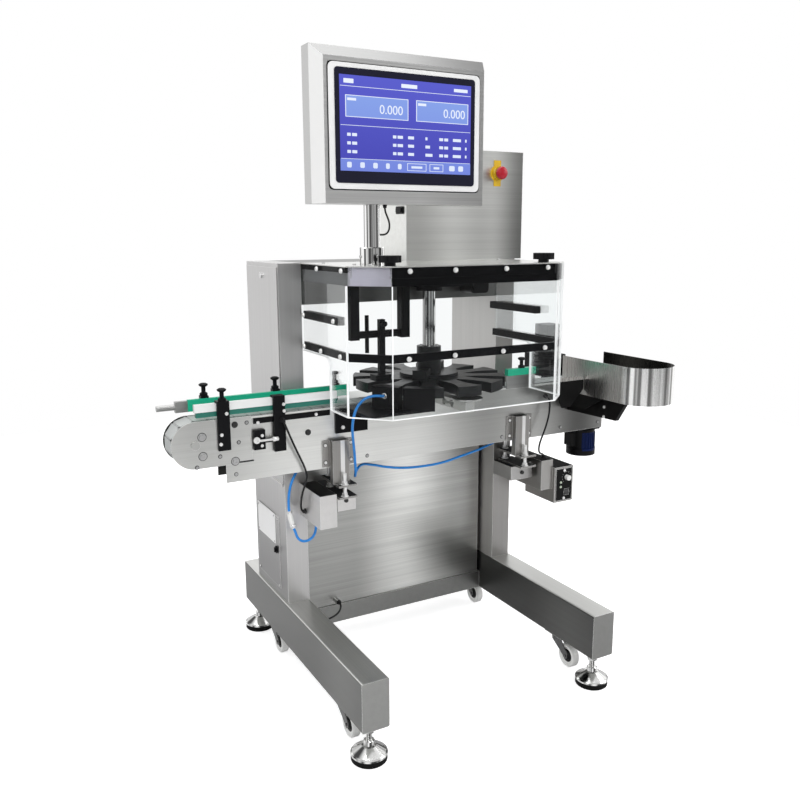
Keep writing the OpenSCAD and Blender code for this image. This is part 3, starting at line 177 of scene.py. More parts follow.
world = bpy.data.worlds.new("studio")
scene.world = world
world.use_nodes = True
sky = Finish("studio", world.node_tree)
sky_dir = sky.node("TexCoord", out=0)
sky_depth = sky.node("SeparateXYZ", {}, {0: sky_dir}, out=1)
sky_behind = sky.ramp(sky_depth, -0.75, 0.25, 0.34, 1.0, "SMOOTHSTEP")
sky_seen = sky.node("LightPath", out="Is Camera Ray") + sky.node("LightPath", out="Is Transmission Ray")
sky_path = sky_seen + sky.node("LightPath", out="Is Glossy Ray")
sky_tone = sky_behind.at_least(sky_seen)
sky_shows = sky.node("Background", {}, {"Color": sky_tone, "Strength": 1.0})
sky_lights = sky.node("Background", {}, {"Color": (0.62, 0.62, 0.63, 1), "Strength": 1.0})
sky_shader = sky.node("MixShader", {}, {0: sky_path, 1: sky_lights, 2: sky_shows})
sky.node("OutputWorld", {}, {"Surface": sky_shader})

aim = Vector((0, 0, 0.9))
for light_name, light_at, light_size, watts in (
        ("key_light", (-1.2, -3.2, 3.4), 2.4, 85),
        ("side_light", (3.2, -1.6, 2.6), 2.0, 40),
        ("top_light", (0.0, 0.6, 4.2), 3.0, 60)):
    lamp = bpy.data.lights.new(light_name, "AREA")
    lamp.size = light_size
    lamp.energy = watts
    lamp_object = put(light_name, lamp)
    lamp_object.location = light_at
    lamp_object.rotation_euler = (aim - Vector(light_at)).to_track_quat("-Z", "Y").to_euler()

sensor_mm, focal_px, picture_px = 36, 819.79, 800
lens = bpy.data.cameras.new("camera")
lens.sensor_width = sensor_mm
lens.lens = sensor_mm * focal_px / picture_px
camera = put("camera", lens)
camera.location = (-1.23109, -2.18908, 1.370)
camera.rotation_euler = [math.radians(a) for a in (78.5708, 0.2451, -28.7731)]
scene.camera = camera

# Cords: blue polyurethane air tubes and black rubber-sheathed cables, pushed into fittings or glands at
# both ends. They hang between the lane, the supports and the cabinets; the one under the display bends
# between it and the pole. at() takes a point of the drawing, in millimetres, to the frame in metres.
layout_zero = Vector((-18.5, 476.5, 10))


def at(x, y, z):
    return (Vector((x, y, z)) - layout_zero) / 1000


def plain_mesh(made):
    return bpy.data.meshes.new_from_object(made.evaluated_get(bpy.context.evaluated_depsgraph_get()))


def flecked(name, size, detail, dark, light, rough, height=None, **sockets):
    finish = Finish(name)
    fleck = finish.fleck(size, detail)
    return finish.surface(fleck if height else None, height, base_color=finish.tone(fleck, dark, light),
                          roughness=rough[0] + rough[1] * fleck, **sockets)


def sheath(name, color, rough, coat):
    return flecked(name, 60, 6, [c * 0.75 for c in color], [c * 1.25 for c in color], (rough, 0.2), 0.0002,
                   coat_weight=coat, specular_ior_level=0.3)


hose_blue = sheath("hose_blue", (0.02, 0.22, 0.64), 0.25, 0.2)
cable_black = sheath("cable_black", (0.008, 0.008, 0.009), 0.42, 0.0)
cords = {
    "air_tube": (8, hose_blue, "medium", [
        (-178.4, 333.7, 926), (-185.2, 329.4, 926), (-198, 323.5, 928.5), (-214, 320.5, 931),
        (-231, 321, 930.5), (-247, 323.5, 925), (-260, 328, 913), (-269, 334, 896), (-274, 341, 872),
        (-273, 352, 846), (-267, 365, 818), (-258, 379, 785), (-249, 392, 750), (-243, 402, 720),
        (-237, 412, 693), (-232.5, 424, 674), (-226, 440, 666), (-217, 455, 669), (-203, 467, 680),
        (-184, 474.5, 687), (-150, 476, 681), (-99, 475, 667), (-40, 475, 656), (33, 475, 651),
        (103, 475, 653), (173, 475, 664), (239, 476, 676), (270, 477, 683), (300, 480.3, 690),
        (318, 483.8, 694.5), (331.5, 489.3, 698.5), (338.3, 494.6, 702), (343.6, 501.4, 705.6),
        (346.9, 509.4, 708.6), (348, 517.9, 710), (348, 522.9, 710)]),
    "air_loop": (8, hose_blue, "medium", [
        (-366, 522.9, 722), (-366, 516, 722), (-368, 506, 720.5), (-374, 495, 716), (-385, 484, 708),
        (-398, 475, 697), (-411, 468.5, 683), (-421, 464.5, 666), (-428, 462, 647), (-432, 460.5, 625),
        (-433.5, 459.5, 602), (-432, 459, 578), (-428, 458.5, 556), (-422, 458.5, 534),
        (-414.5, 459, 514.5), (-408.5, 459.5, 497.5), (-397.3, 460, 485.4), (-381.5, 460.5, 481),
        (-365.5, 461, 485.4), (-353.5, 461.5, 497.5), (-348.5, 462, 514), (-347, 462, 527),
        (-346.5, 462, 535), (-346.5, 462, 540.9)]),
    "sensor_cable": (6, cable_black, "limp", [
        (-457, 425.9, 868), (-457, 421, 868), (-456.8, 415.5, 866), (-455.8, 411.5, 861), (-453, 410, 852),
        (-447, 411.5, 838), (-439, 414, 819), (-430, 416.5, 799), (-420.5, 418.5, 778), (-410, 420, 755),
        (-399, 421.5, 731), (-391, 424, 710), (-386.5, 429, 692), (-385, 438, 675), (-385, 449, 658),
        (-385.5, 460, 641), (-386, 470, 623), (-386, 478, 606), (-385.5, 483, 590), (-384, 485.5, 576.5),
        (-380.5, 486, 568), (-375.6, 486, 565.5), (-370.1, 486, 565.5)]),
    "drive_cable": (6, cable_black, "limp", [
        (489, 437.9, 842), (489, 431.5, 842), (488.8, 424.5, 840.5), (488.3, 418, 836.5),
        (487.5, 412.8, 829.5), (486.5, 409.5, 820), (485, 407.5, 806), (481.5, 405.5, 786),
        (475, 404, 764), (466.5, 403, 742), (457, 403, 720), (449, 404, 700), (445, 406, 682),
        (446, 409, 668), (451, 413, 657.5), (459, 417.5, 650.5), (468, 421.5, 646.5), (475, 424.3, 643),
        (479, 425.8, 638.5), (480, 426, 634), (480, 426, 630.1)]),
    "screen_cable": (5, cable_black, "limp", [
        (-196, 290, 1457.2), (-196, 290, 1450), (-194.5, 290, 1440), (-190.5, 290, 1430),
        (-186, 290, 1420), (-183, 290, 1410), (-182.5, 290, 1400), (-184.5, 290, 1391), (-189, 290, 1384),
        (-195, 290, 1380.5), (-200, 290, 1379.3), (-204, 290, 1379), (-207.5, 290, 1379),
        (-210.5, 290, 1379), (-213.9, 290, 1379)]),
    "gland_cable": (6, cable_black, "limp", [
        (-222, 587.9, 195), (-222, 581, 195), (-222.5, 574, 193.5), (-224.5, 567, 189), (-229, 561, 183.5),
        (-236, 556, 178), (-245, 551.5, 174), (-256, 547.5, 171.5), (-268, 543.5, 170.5),
        (-281, 539, 170.5), (-294, 534.5, 172), (-306, 530, 174.5), (-317, 526, 178), (-326, 523.5, 181.5),
        (-333, 522.2, 183.4), (-339, 522, 184), (-345.9, 522, 184)]),
}
swinging_cord, swing_top, swing_foot = "screen_cable", (-196, 290, 1452), (-196, 290, 1384)
for cord_name, (across, finish, stiffness, route) in cords.items():
    curve = bpy.data.curves.new(cord_name + "_line", "CURVE")
    curve.dimensions = "3D"
    curve.bevel_depth = across / 2000
    curve.bevel_resolution = 4
    curve.resolution_u = 8
    curve.use_fill_caps = True
    line = curve.splines.new("BEZIER")
    line.bezier_points.add(len(route) - 1)
    for knot, point in zip(line.bezier_points, route):
        knot.co = at(*point)
        knot.handle_left_type = knot.handle_right_type = "AUTO"
    curve.materials.append(finish)
    piece = put(cord_name + "_line", curve)
    bpy.context.view_layer.update()
    knots = line.bezier_points
    spans = [interpolate_bezier(a.co, a.handle_right, b.handle_left, b.co, 12)
             for a, b in zip(knots[:-1], knots[1:])]
    if cord_name == swinging_cord:
        tube = plain_mesh(piece)
        bpy.data.objects.remove(piece)
        piece = put(cord_name + "_line", tube)
        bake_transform(piece)
    else:
        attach(piece, "stand")
    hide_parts(cord_name)
    across / 1000

# Fittings and glands: nickel push-in fittings on the air tubes and black nylon gland nuts on the cables,
# each screwed into the face that its cord leaves. fit_heads() stands one turned head with a hexagon
# socket on every place of a list; the same nodes make every screw, nut and bolt further down.
front, back, left, right = (0, -1, 0), (0, 1, 0), (-1, 0, 0), (1, 0, 0)
up, down = (0, 0, 1), (0, 0, -1)


def node_set(name, *sizes):
    made = Finish(name, bpy.data.node_groups.new(name, "GeometryNodeTree"))
    inputs = (("Geometry", "Geometry"), *sizes, ("Finish", "Material"))
    for label, kind in inputs:
        made.tree.interface.new_socket(label, in_out="INPUT", socket_type="NodeSocket" + kind)
    made.tree.interface.new_socket("Geometry", in_out="OUTPUT", socket_type="NodeSocketGeometry")
    return made, [made.node("NodeGroupInput", out=place) for place in range(len(inputs))]


def facing(nodes):
    return nodes.node("GeometryNodeInputNamedAttribute", {"data_type": "FLOAT_VECTOR"}, {"Name": "facing"})


def stand_on(nodes, spots, shape, turn, finish):
    placed = nodes.node("GeometryNodeInstanceOnPoints", {}, {
        "Points": spots, "Instance": shape, "Rotation": turn})
    placed = nodes.node("GeometryNodeRealizeInstances", {}, {0: placed})
    placed = nodes.node("GeometryNodeSetMaterial", {}, {"Geometry": placed, "Material": finish})
    nodes.node("NodeGroupOutput", {}, {0: placed})


def grow(name, body, nodes, places, sizes):
    cloud = bpy.data.meshes.new(name + "_places")
    cloud.from_pydata([at(*spot) for spot, way in places], [], [])
    ways = cloud.attributes.new("facing", "FLOAT_VECTOR", "POINT")
    for held, (spot, way) in zip(ways.data, places):
        held.vector = way
    made = put(name, cloud)
    modifier = made.modifiers.new("nodes", "NODES")
    modifier.node_group = nodes.tree
    for item in nodes.tree.interface.items_tree:
        if item.in_out == "INPUT" and item.name in sizes:
            modifier[item.identifier] = sizes[item.name]
    mesh = plain_mesh(made)
    made.modifiers.clear()
    made.data = mesh
    mesh.materials.clear()
    mesh.materials.append(sizes["Finish"])
    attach(made, body)


heads, (spots, washer_r, head_r, head_h, head_sides, socket_r, head_finish) = node_set(
    "turned_heads", ("Washer radius", "Float"), ("Head radius", "Float"), ("Head height", "Float"),
    ("Sides", "Int"), ("Socket radius", "Float"))
washer = heads.node("GeometryNodeMeshCylinder", {}, {
    "Vertices": 20, "Radius": washer_r, "Depth": head_h * 0.3})
turned = heads.node("GeometryNodeMeshCone", {}, {
    "Vertices": head_sides, "Radius Top": head_r * 0.84, "Radius Bottom": head_r, "Depth": head_h})
recess = heads.node("GeometryNodeMeshCylinder", {}, {"Vertices": 6, "Radius": socket_r, "Depth": head_h})
washer, recess = [heads.node("GeometryNodeTransform", {}, {
    "Geometry": shape, "Translation": heads.node("CombineXYZ", {}, {2: head_h * lift})})
    for shape, lift in ((washer, 0.15), (recess, 1.1))]
turned = heads.node("GeometryNodeMeshBoolean", {"operation": "DIFFERENCE"}, {0: turned, 1: recess})
whole = heads.node("GeometryNodeJoinGeometry", {}, {0: [washer, turned]})
head_turn = heads.node("FunctionNodeAlignRotationToVector", {"axis": "Z"}, {"Vector": facing(heads)})
stand_on(heads, spots, whole, head_turn, head_finish)


def fit_heads(name, finish, places, radius, height, sides=20, socket=0.5, washer=1.0,
              body="stand"):
    grow(name, body, heads, places, {
        "Washer radius": radius * washer / 1000, "Head radius": radius / 1000, "Head height": height / 1000,
        "Sides": sides, "Socket radius": radius * socket / 1000, "Finish": finish})


def plated(name, tone, rough):
    return flecked(name, 320, 4, [tone * 0.85] * 3, [min(1, tone * 1.1)] * 3, (rough, 0.1), 0.00002,
                   metallic=1.0)


nickel = plated("fitting_nickel", 0.80, 0.18)
fit_heads("tube_fittings", nickel, [
    ((-178.4, 333.7, 926), (-0.84, -0.54, 0)), ((348, 523, 710), front), ((-366, 523, 722), front),
    ((-346.5, 462, 541), down)], 7.5, 9, 6, 0.62, 1.1)
fit_heads("cable_glands", cable_black, [
    ((-457, 426, 868), front), ((-370, 486, 565.5), left), ((489, 438, 842), front), ((480, 426, 630), up),
    ((-222, 588, 195), front), ((-346, 522, 184), right)], 7, 9, 8, 0.55, 1.15)
fit_heads("screen_gland", cable_black, [
    ((-196, 290, 1457.3), down)], 6, 8, 8, 0.55, body="display")

# Tube joiner: a white moulded sleeve with a nickel collar at each end, pushed over the air loop where
# its two lengths meet. It is turned about the tube's own line.


def moulded(name, color, rough=0.4, grain=0.0001, coat=0.0, shine=0.5):
    finish = Finish(name)
    pore = finish.fleck(500, 3)
    shade = 0.4 * pore + 0.6 * finish.fleck(9)
    tone = finish.tone(shade, [c * 0.8 for c in color], [min(1.0, c * 1.2) for c in color])
    return finish.surface(pore, grain, base_color=tone, roughness=rough - 0.08 + 0.16 * shade,
                          coat_weight=coat, specular_ior_level=shine)


def circle(count, first=0.0):
    turns = [math.radians(first + 360 * k / count) for k in range(count)]
    return [Vector((math.cos(turn), math.sin(turn), 0)) for turn in turns]


def turned_along(bm, path, radii, sides=16):
    rings = []
    for place, (spot, radius) in enumerate(zip(path, radii)):
        ahead = path[min(place + 1, len(path) - 1)] - path[max(place - 1, 0)]
        tilt = ahead.to_track_quat("Z", "Y")
        rings.append([bm.verts.new(spot + tilt @ (radius * spoke)) for spoke in circle(sides)])
    for low, high in zip(rings[:-1], rings[1:]):
        for k in range(sides):
            bm.faces.new((low[k - 1], low[k], high[k], high[k - 1]))
    bm.faces.new(rings[0])
    bm.faces.new(rings[-1])


def finish_piece(name, bm, finish, body, smooth=False):
    bmesh.ops.recalc_face_normals(bm, faces=bm.faces)
    mesh = bpy.data.meshes.new(name)
    bm.to_mesh(mesh)
    bm.free()
    mesh.materials.append(finish)
    for face in mesh.polygons:
        face.use_smooth = smooth
    made = put(name, mesh)
    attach(made, body)


white_plastic = moulded("white_plastic", (0.78, 0.78, 0.76), 0.35)
joiner_path = [at(-432.6, 459.2, 584), at(-431, 458.9, 572), at(-428, 458.5, 556), at(-425, 458.5, 545),
               at(-421, 458.5, 530)]
joiner = bmesh.new()
turned_along(joiner, joiner_path, [0.0055, 0.0075, 0.0075, 0.0075, 0.0055])
finish_piece("tube_joiner", joiner, white_plastic, "stand")
collars = bmesh.new()
for ends in ((joiner_path[0], joiner_path[1]), (joiner_path[3], joiner_path[4])):
    way = ends[1] - ends[0]
    turned_along(collars, [ends[0] + way * t for t in (0.2, 0.3, 0.6, 0.7)], [0.007, 0.0085, 0.0085, 0.007])
finish_piece("joiner_collars", collars, nickel, "stand")

# Base frame: two rectangular tubes and a cross tube of brushed stainless, welded and ground flush, with
# welded end caps. brushed() is that finish: grain along one axis and faint clouding, with a painted
# highlight along every edge, and painted light and shade that make faces (axis, side, gain) and zones
# (axis, centre, half width, gain, and one face or none) paler or darker.


def along(axis, value):
    return (value - layout_zero["XYZ".index(axis)]) / 1000


def brushed(name, tone, grain, rough=0.3, cloud=0.12, light_zones=(), tint=(1, 1.005, 0.975), faces=()):
    finish = Finish(name)
    line = finish.noise([2.0 if axis == grain else 420.0 for axis in "XYZ"])
    band = finish.noise([0.5 if axis == grain else 60.0 for axis in "XYZ"], detail=2)
    haze = finish.fleck(2.2, 2)
    amount = 0.35 * line + 0.3 * band + 0.35 * haze
    dark = [tone * (1 - cloud * 1.6) * c for c in tint]
    light = [min(1, tone * (1 + cloud * 1.6)) * c for c in tint]
    color = finish.tone(amount, dark, light)
    # Painted light and shade: each face and zone gain scales the colour up or down.
    light_gain = 1.0
    for axis, side, much in faces:
        light_gain = light_gain + much * finish.faces(axis, side)
    for axis, centre, half, much, *only in light_zones:
        off = abs(finish.axis(axis) - along(axis, centre))
        zone = finish.ramp(off, 0.0, half / 1000, much, 0.0, "SMOOTHSTEP")
        light_gain = light_gain + (zone * finish.faces(*only[0]) if only else zone)
    if light_zones or faces:
        color = finish.shaded(color, light_gain.at_least(0.03))
    # Painted highlight: a near-white line along every edge.
    color = finish.mix(0.75 * finish.edges(0.0022), color, (0.96, 0.96, 0.95, 1))
    return finish.surface(line, 0.00003, base_color=color, metallic=1.0, edge=0.0012,
                          roughness=rough - 0.08 + 0.16 * amount)


def dress(finish, *names):
    for name in names:
        slots = solid[name].data.materials
        slots.clear()
        slots.append(finish)


# Painted shade on the beams' left and front faces, a painted highlight on their tops, and two zones painted
# darker and paler.
dress(brushed("beam_steel", 0.46, "Y", 0.36, 0.16, [("X", 386, 260, -0.16), ("Y", 120, 220, 0.12)],
              faces=[("X", -1, -0.63), ("Y", -1, -0.38), ("Z", 1, 0.45)]), "base_frame")

# Levelling feet: a chromed, coned foot on a threaded stud with a lock nut, moulded into a black rubber
# sole. The sole is the part of the foot below the chrome rim. The chrome's dark and bright blotches are
# a painted reflection.


# This paints a reflection: dark and bright blotches set by the way each face points.
def painted_reflection(finish, spread, low, high):
    mirror = {"Vector": finish.node("NewGeometry", out=1), "Scale": spread, "Detail": 1.0}
    return finish.ramp(finish.node("TexNoise", {}, mirror), low, high)


corners = ("fl", "fr", "rl", "rr")
sole_top, thread_low, thread_high = 0.0178, 0.06, 0.08
foot = Finish("foot_chrome")
foot_height = foot.axis("Z")
foot_sole = foot_height < sole_top
foot_grain = foot.fleck(90, 5)
foot_wave = foot.node("TexWave", {"bands_direction": "Z"}, {"Vector": foot.place(), "Scale": 180.0})
foot_thread = foot_wave * (foot_height > thread_low) * (foot_height < thread_high)
foot_chrome = foot.tone(painted_reflection(foot, 2.4, 0.40, 0.58), (0.06, 0.06, 0.06), (0.92, 0.92, 0.91))
foot_rubber = foot.tone(foot_grain, (0.002, 0.002, 0.002), (0.006, 0.006, 0.006))
dress(foot.surface(foot_thread, 0.0004, base_color=foot.mix(foot_sole, foot_chrome, foot_rubber),
                   metallic=1 - foot_sole, roughness=0.1 + 0.1 * foot_grain + 0.5 * foot_sole,
                   specular_ior_level=0.12), *["foot_" + corner for corner in corners])

# Casters: pressed steel forks with dark zinc plating that swivel under the beams, and white nylon wheels
# that run on dark steel hubs. A wheel's hub is what lies close round its own axle.
dress(plated("fork_zinc", 0.17, 0.2), *["caster_fork_" + corner for corner in corners])
hub_r, tread_r = 0.021, 0.034
for corner in corners:
    low, high = [Vector(point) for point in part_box("caster_wheel_" + corner)]
    middle = (low + high) / 2
    wheel = Finish("wheel_nylon_" + corner)
    across = wheel.axis("Y") - middle.y
    above = wheel.axis("Z") - middle.z
    from_axle = wheel.node("Math", {"operation": "SQRT"}, {0: across * across + above * above})
    hub = from_axle < hub_r
    tread = from_axle > tread_r
    scuff = wheel.fleck(40, 6)
    nylon = wheel.tone(scuff, (0.84, 0.84, 0.82), (0.96, 0.96, 0.94))
    nylon = wheel.mix(tread * scuff, nylon, (0.55, 0.55, 0.54, 1))
    steel = wheel.tone(scuff, (0.015, 0.015, 0.015), (0.05, 0.05, 0.05))
    dress(wheel.surface(scuff, 0.0001, base_color=wheel.mix(hub, nylon, steel), metallic=hub,
                        roughness=0.35 + 0.2 * scuff), "caster_wheel_" + corner)

# Towers and bridge: boxes folded from brushed stainless sheet and bolted together. The left tower has a
# lift-off cover with a chromed lock, and low down a screwed access panel with a blank riveted plate.
# Painted shade darkens the left tower's left face low down.
dress(brushed("tower_steel", 0.56, "Z", 0.38, 0.14, [("Z", 300, 380, -0.52, ("X", -1))], (1, 0.99, 0.985)),
      "tower_left", "tower_cover")
# The right tower is given a darker tone as painted shade, with painted light paling it round mid-height and
# on its left face low down, and painted shade on its front.
dress(brushed("far_tower_shaded_steel", 0.42, "Z", 0.38, 0.14, [
    ("Z", 1000, 300, 0.25), ("Z", 400, 500, 0.7, ("X", -1))], (1, 0.975, 0.95), [("Y", -1, -0.24)]),
      "tower_right")
# The bridge box is given a very dark steel tone, a painted shade.
dress(brushed("bridge_shaded_steel", 0.17, "X", 0.35), "bridge_box")
dress(plated("lock_chrome", 0.75, 0.15), "cover_lock")


def rounded(a0, b0, a1, b1, radius, steps=5):
    outline = []
    for a, b, start in ((a1 - radius, b0 + radius, 270), (a1 - radius, b1 - radius, 0),
                        (a0 + radius, b1 - radius, 90), (a0 + radius, b0 + radius, 180)):
        for k in range(steps + 1):
            turn = math.radians(start + 90 * k / steps)
            outline.append((a + radius * math.cos(turn), b + radius * math.sin(turn)))
    return outline


def slab(bm, outline, axis, low, high):
    ends = []
    for level in (low, high):
        spots = {"X": [(level, a, b) for a, b in outline], "Y": [(a, level, b) for a, b in outline],
                 "Z": [(a, b, level) for a, b in outline]}[axis]
        ends.append([bm.verts.new(at(*spot)) for spot in spots])
    bm.faces.new(ends[0])
    bm.faces.new(ends[1])
    for k in range(len(outline)):
        bm.faces.new((ends[0][k - 1], ends[0][k], ends[1][k], ends[1][k - 1]))


def plates(name, finish, body, slot, axis, *layers):
    bm = bmesh.new()
    for outline, low, high in layers:
        slab(bm, rounded(*outline), axis, low, high)
    finish_piece(name, bm, finish, body)


plate_white = flecked("blank_plate", 260, 4, (0.88, 0.88, 0.87), (0.96, 0.96, 0.95), (0.35, 0.2), 0.00003)
plates("blank_plate", plate_white, "stand", "stainless", "X",
       ((622, 424, 780, 523, 5), -419.8, -418.8), ((626, 428, 776, 519, 4), -420.2, -419.6))
screw_steel = plated("screw_steel", 0.5, 0.26)
fit_heads("plate_rivets", screw_steel, [
    ((-420.1, y, z), left) for y in (629, 773) for z in (431, 516)], 3, 1.6, 12, 0.3)
fit_heads("panel_screws", screw_steel, [
    ((-419, y, z), left) for y in (599, 779) for z in (293, 512)], 4.5, 3)
black_plastic = moulded("black_plastic", (0.006, 0.006, 0.007), 0.35, shine=0.14)
plates("panel_latch", black_plastic, "stand", "black_plastic", "X",
       ((606, 398, 620, 420, 3), -424, -418.8), ((611, 401, 615, 417, 1.5), -429, -423.8))

# Cabinets: the closed centre cabinet under the lane and the upper one on the bridge, welded from
# stainless sheet brushed lengthwise. A black blanking plug closes the upper one's side opening.
# Painted light on the centre cabinet's front: a bright patch round its middle and a darker zone to the right.
dress(brushed("cabinet_steel", 0.40, "X", 0.34, 0.34, [("X", 40, 200, 1.2), ("X", 330, 130, -0.2)]),
      "centre_cabinet")
# Painted light on the upper cabinet: paler near its middle and on its left face, and much darker towards its
# right end.
dress(brushed("upper_steel", 0.70, "X", 0.32, 0.2, [("X", 430, 130, -0.7), ("X", 150, 130, 0.3)],
              faces=[("X", -1, 0.15)]), "upper_cabinet")
low_door, high_door, door_thick = 804, 684, 2.4
plates("cabinet_doors", brushed("door_steel", 0.52, "X", 0.36, 0.2), "stand", "stainless", "Y",
       ((-306, 214, 306, 818, 8), low_door - door_thick, low_door),
       ((16, 1322, 406, 1616, 8), high_door - door_thick, high_door))
fit_heads("door_screws", screw_steel, [
    *[((x, low_door, z), back) for x in (-292, 0, 292) for z in (228, 804)],
    ((-292, low_door, 516), back), ((292, low_door, 516), back),
    *[((x, high_door, z), back) for x in (28, 394) for z in (1334, 1604)]], 4.5, 3)
fit_heads("door_locks", plated("lock_dark", 0.12, 0.3), [
    ((40, high_door, 1469), back), ((-276, low_door, 640), back)], 9, 6, 20, 0.35, 1.3)
plates("side_plug", black_plastic, "stand", "black_plastic", "X",
       ((528, 1441, 572, 1464, 4), -10, -5.8), ((534, 1446, 566, 1459, 3), -14, -9.8))

# Lane: laser-cut stainless side plates with bolted heads, plastic wear strips and a slat chain that runs
# round steel chain wheels. Turned screws with hexagon sockets hold the heads, and one slot takes up slack.
# Painted shade: the plates are darkened in zones, most towards their right-hand end, and the back plate's
# inner face is darkened almost to black.
dress(brushed("lane_steel", 0.80, "X", 0.32, 0.2, [
    ("X", -680, 300, -0.3), ("X", 250, 300, -0.55), ("X", 640, 300, -0.85),
    ("Y", 524, 40, -0.95, ("Y", -1))]), "conveyor_frame")
dress(moulded("strip_white", (0.72, 0.72, 0.70), 0.45), "wear_strips")
slats = Finish("slat_plastic")
slat_grain = slats.fleck(130)
slat_wear = slats.noise((0.2, 1, 1), 14)
slat_grey = slats.tone(0.5 * slat_grain + 0.5 * slat_wear, (0.36, 0.38, 0.37), (0.60, 0.62, 0.61))
# Painted shade darkens every slat along its edges, where the gaps between slats fall dark.
slat_grey = slats.mix(slats.edges(0.006), slat_grey, (0.02, 0.02, 0.02, 1))
dress(slats.surface(slat_grain, 0.0001, base_color=slat_grey, roughness=0.34 + 0.2 * slat_grain),
      "slat_chain")
dress(brushed("shaft_steel", 0.5, "Y", 0.3), "drive_sprocket", "tail_wheel")
head_y, lane_y, lane_back_y = 435, 438, 526
head_bolts = [((x, head_y, z), front) for x, z in ((-684.5, 843.6), (-684.3, 789.8), (-594.5, 764.2))]
head_screws = [((x, head_y, z), front)
               for x, z in ((-582.7, 817), (-636.8, 783.3), (-558, 870), (-702, 761))]
lane_screws = [((x, lane_y, z), front)
               for x, z in ((-593, 725.6), (-185, 724), (313, 721), (728, 725), (560, 725))]
fit_heads("head_bolts", screw_steel, head_bolts, 8, 4, 20, 0.5, 1.35)
fit_heads("head_screws", screw_steel, head_screws, 4, 2.5)
dark_steel = plated("dark_steel", 0.07, 0.3)
fit_heads("lane_bolts", dark_steel, [
    ((-592.3, head_y, 867.9), front), ((-375, lane_y, 819.7), front)], 7, 4, 20, 0.55, 1.3)
fit_heads("lane_screws", screw_steel, lane_screws, 4.5, 2.5)
# Dark seats under the heads: thin dark washers that also stand in for the shadow ring round each head.
fit_heads("bolt_shadow_seats", dark_steel, head_bolts, 12.6, 0.8, 24, 0.3)
fit_heads("screw_shadow_seats", dark_steel, head_screws + lane_screws, 6, 0.6, 20, 0.3)
fit_heads("lane_back_screws", screw_steel, [
    ((x, lane_back_y, z), back) for x in (-593, -375, -185, 313, 560, 728) for z in (725, 850)], 4.5, 2.5)
# A dark plate cut to the slot's outline stands in for the shade inside the slot.
plates("slack_slot_shade", dark_steel, "stand", "dark_steel", "Y", ((-584, 757.5, -541, 762, 2.2), 434.6, 435.4))

# Gearmotor: a navy-painted housing with a black fan cowl below and a black terminal box on its left,
# hung under the lane's drive end; left of the box the housing's own side is painted black too, as painted
# shade. Its cooling ribs are one rib stood round the housing by nodes.


def short_of(finish, axis, value):
    return finish.axis(axis) < along(axis, value)


def past(finish, axis, value):
    return finish.axis(axis) > along(axis, value)


motor = Finish("motor_paint")
motor_fleck = motor.fleck(220, 5)
# Black paint on the cowl and terminal box; left of X 664 the navy housing itself is painted black as shade.
motor_black_and_shade = (short_of(motor, "Z", 624) + short_of(motor, "X", 664) + past(motor, "Z", 690)).at_most(1.0)
motor_blue = motor.tone(motor_fleck, (0.0005, 0.005, 0.035), (0.001, 0.011, 0.080))
motor_dark = motor.tone(motor_fleck, (0.002, 0.002, 0.002), (0.005, 0.005, 0.006))
motor_paint = motor.surface(motor_fleck, 0.0002, base_color=motor.mix(motor_black_and_shade, motor_blue, motor_dark),
                            roughness=0.3 + 0.2 * motor_fleck, specular_ior_level=0.12)
dress(motor_paint, "gearmotor")
ribs, (rib_spots, rib_thick, rib_deep, rib_long, rib_finish) = node_set(
    "cooling_ribs", ("Thickness", "Float"), ("Depth", "Float"), ("Length", "Float"))
rib = ribs.node("GeometryNodeMeshCube", {}, {
    "Size": ribs.node("CombineXYZ", {}, {0: rib_thick, 1: rib_long, 2: rib_deep})})
rib_turn = ribs.node("FunctionNodeAlignRotationToVector", {"axis": "Y"}, {"Vector": up})
rib_turn = ribs.node("FunctionNodeAlignRotationToVector", {"axis": "Z", "pivot_axis": "Y"},
                     {"Rotation": rib_turn, "Vector": facing(ribs)})
stand_on(ribs, rib_spots, rib, rib_turn, rib_finish)
motor_x, motor_y, motor_r, rib_z, rib_count = 692.6, 482, 48, 657, 30
rib_ways = [way for way in circle(rib_count) if way.x > -0.6]
grow("motor_ribs", "stand", ribs, [
    ((motor_x + motor_r * way.x, motor_y + motor_r * way.y, rib_z), way) for way in rib_ways],
     {"Thickness": 0.002, "Depth": 0.004, "Length": 0.060, "Finish": motor_paint})

# Guide rails: white anodised aluminium and green low-friction plastic strips. The infeed rail's tip
# block and its rod are plain steel, and stick out past the tail of the lane.
rails = Finish("rail_anodised")
rail_grain = rails.noise((2, 300, 300))
rail_white = rails.tone(rail_grain, (0.66, 0.67, 0.67), (0.84, 0.84, 0.83))
rail_grey = rails.tone(rail_grain, (0.30, 0.30, 0.30), (0.44, 0.44, 0.43))
rail_bare = short_of(rails, "X", -700).at_least(past(rails, "X", 181.5))
dress(rails.surface(rail_grain, 0.00003, base_color=rails.mix(rail_bare, rail_white, rail_grey),
                    metallic=rail_bare, roughness=0.28 + 0.15 * rail_grain), "guide_rails")
strips = Finish("rail_green")
strip_grain = strips.noise((3, 200, 200))
# Painted shade: the strips on the lane's rear side, and all of them right of its middle, get a darker teal.
strip_front = short_of(strips, "Y", 470) * short_of(strips, "X", -18.5)
strip_green = strips.tone(strip_grain, (0.006, 0.34, 0.19), (0.016, 0.47, 0.28))
strip_teal_shade = strips.tone(strip_grain, (0.010, 0.10, 0.075), (0.030, 0.20, 0.150))
dress(strips.surface(strip_grain, 0.00005, base_color=strips.mix(strip_front, strip_green, strip_teal_shade),
                     roughness=0.26 + 0.12 * strip_grain, specular_ior_level=0.35), "rail_strips")

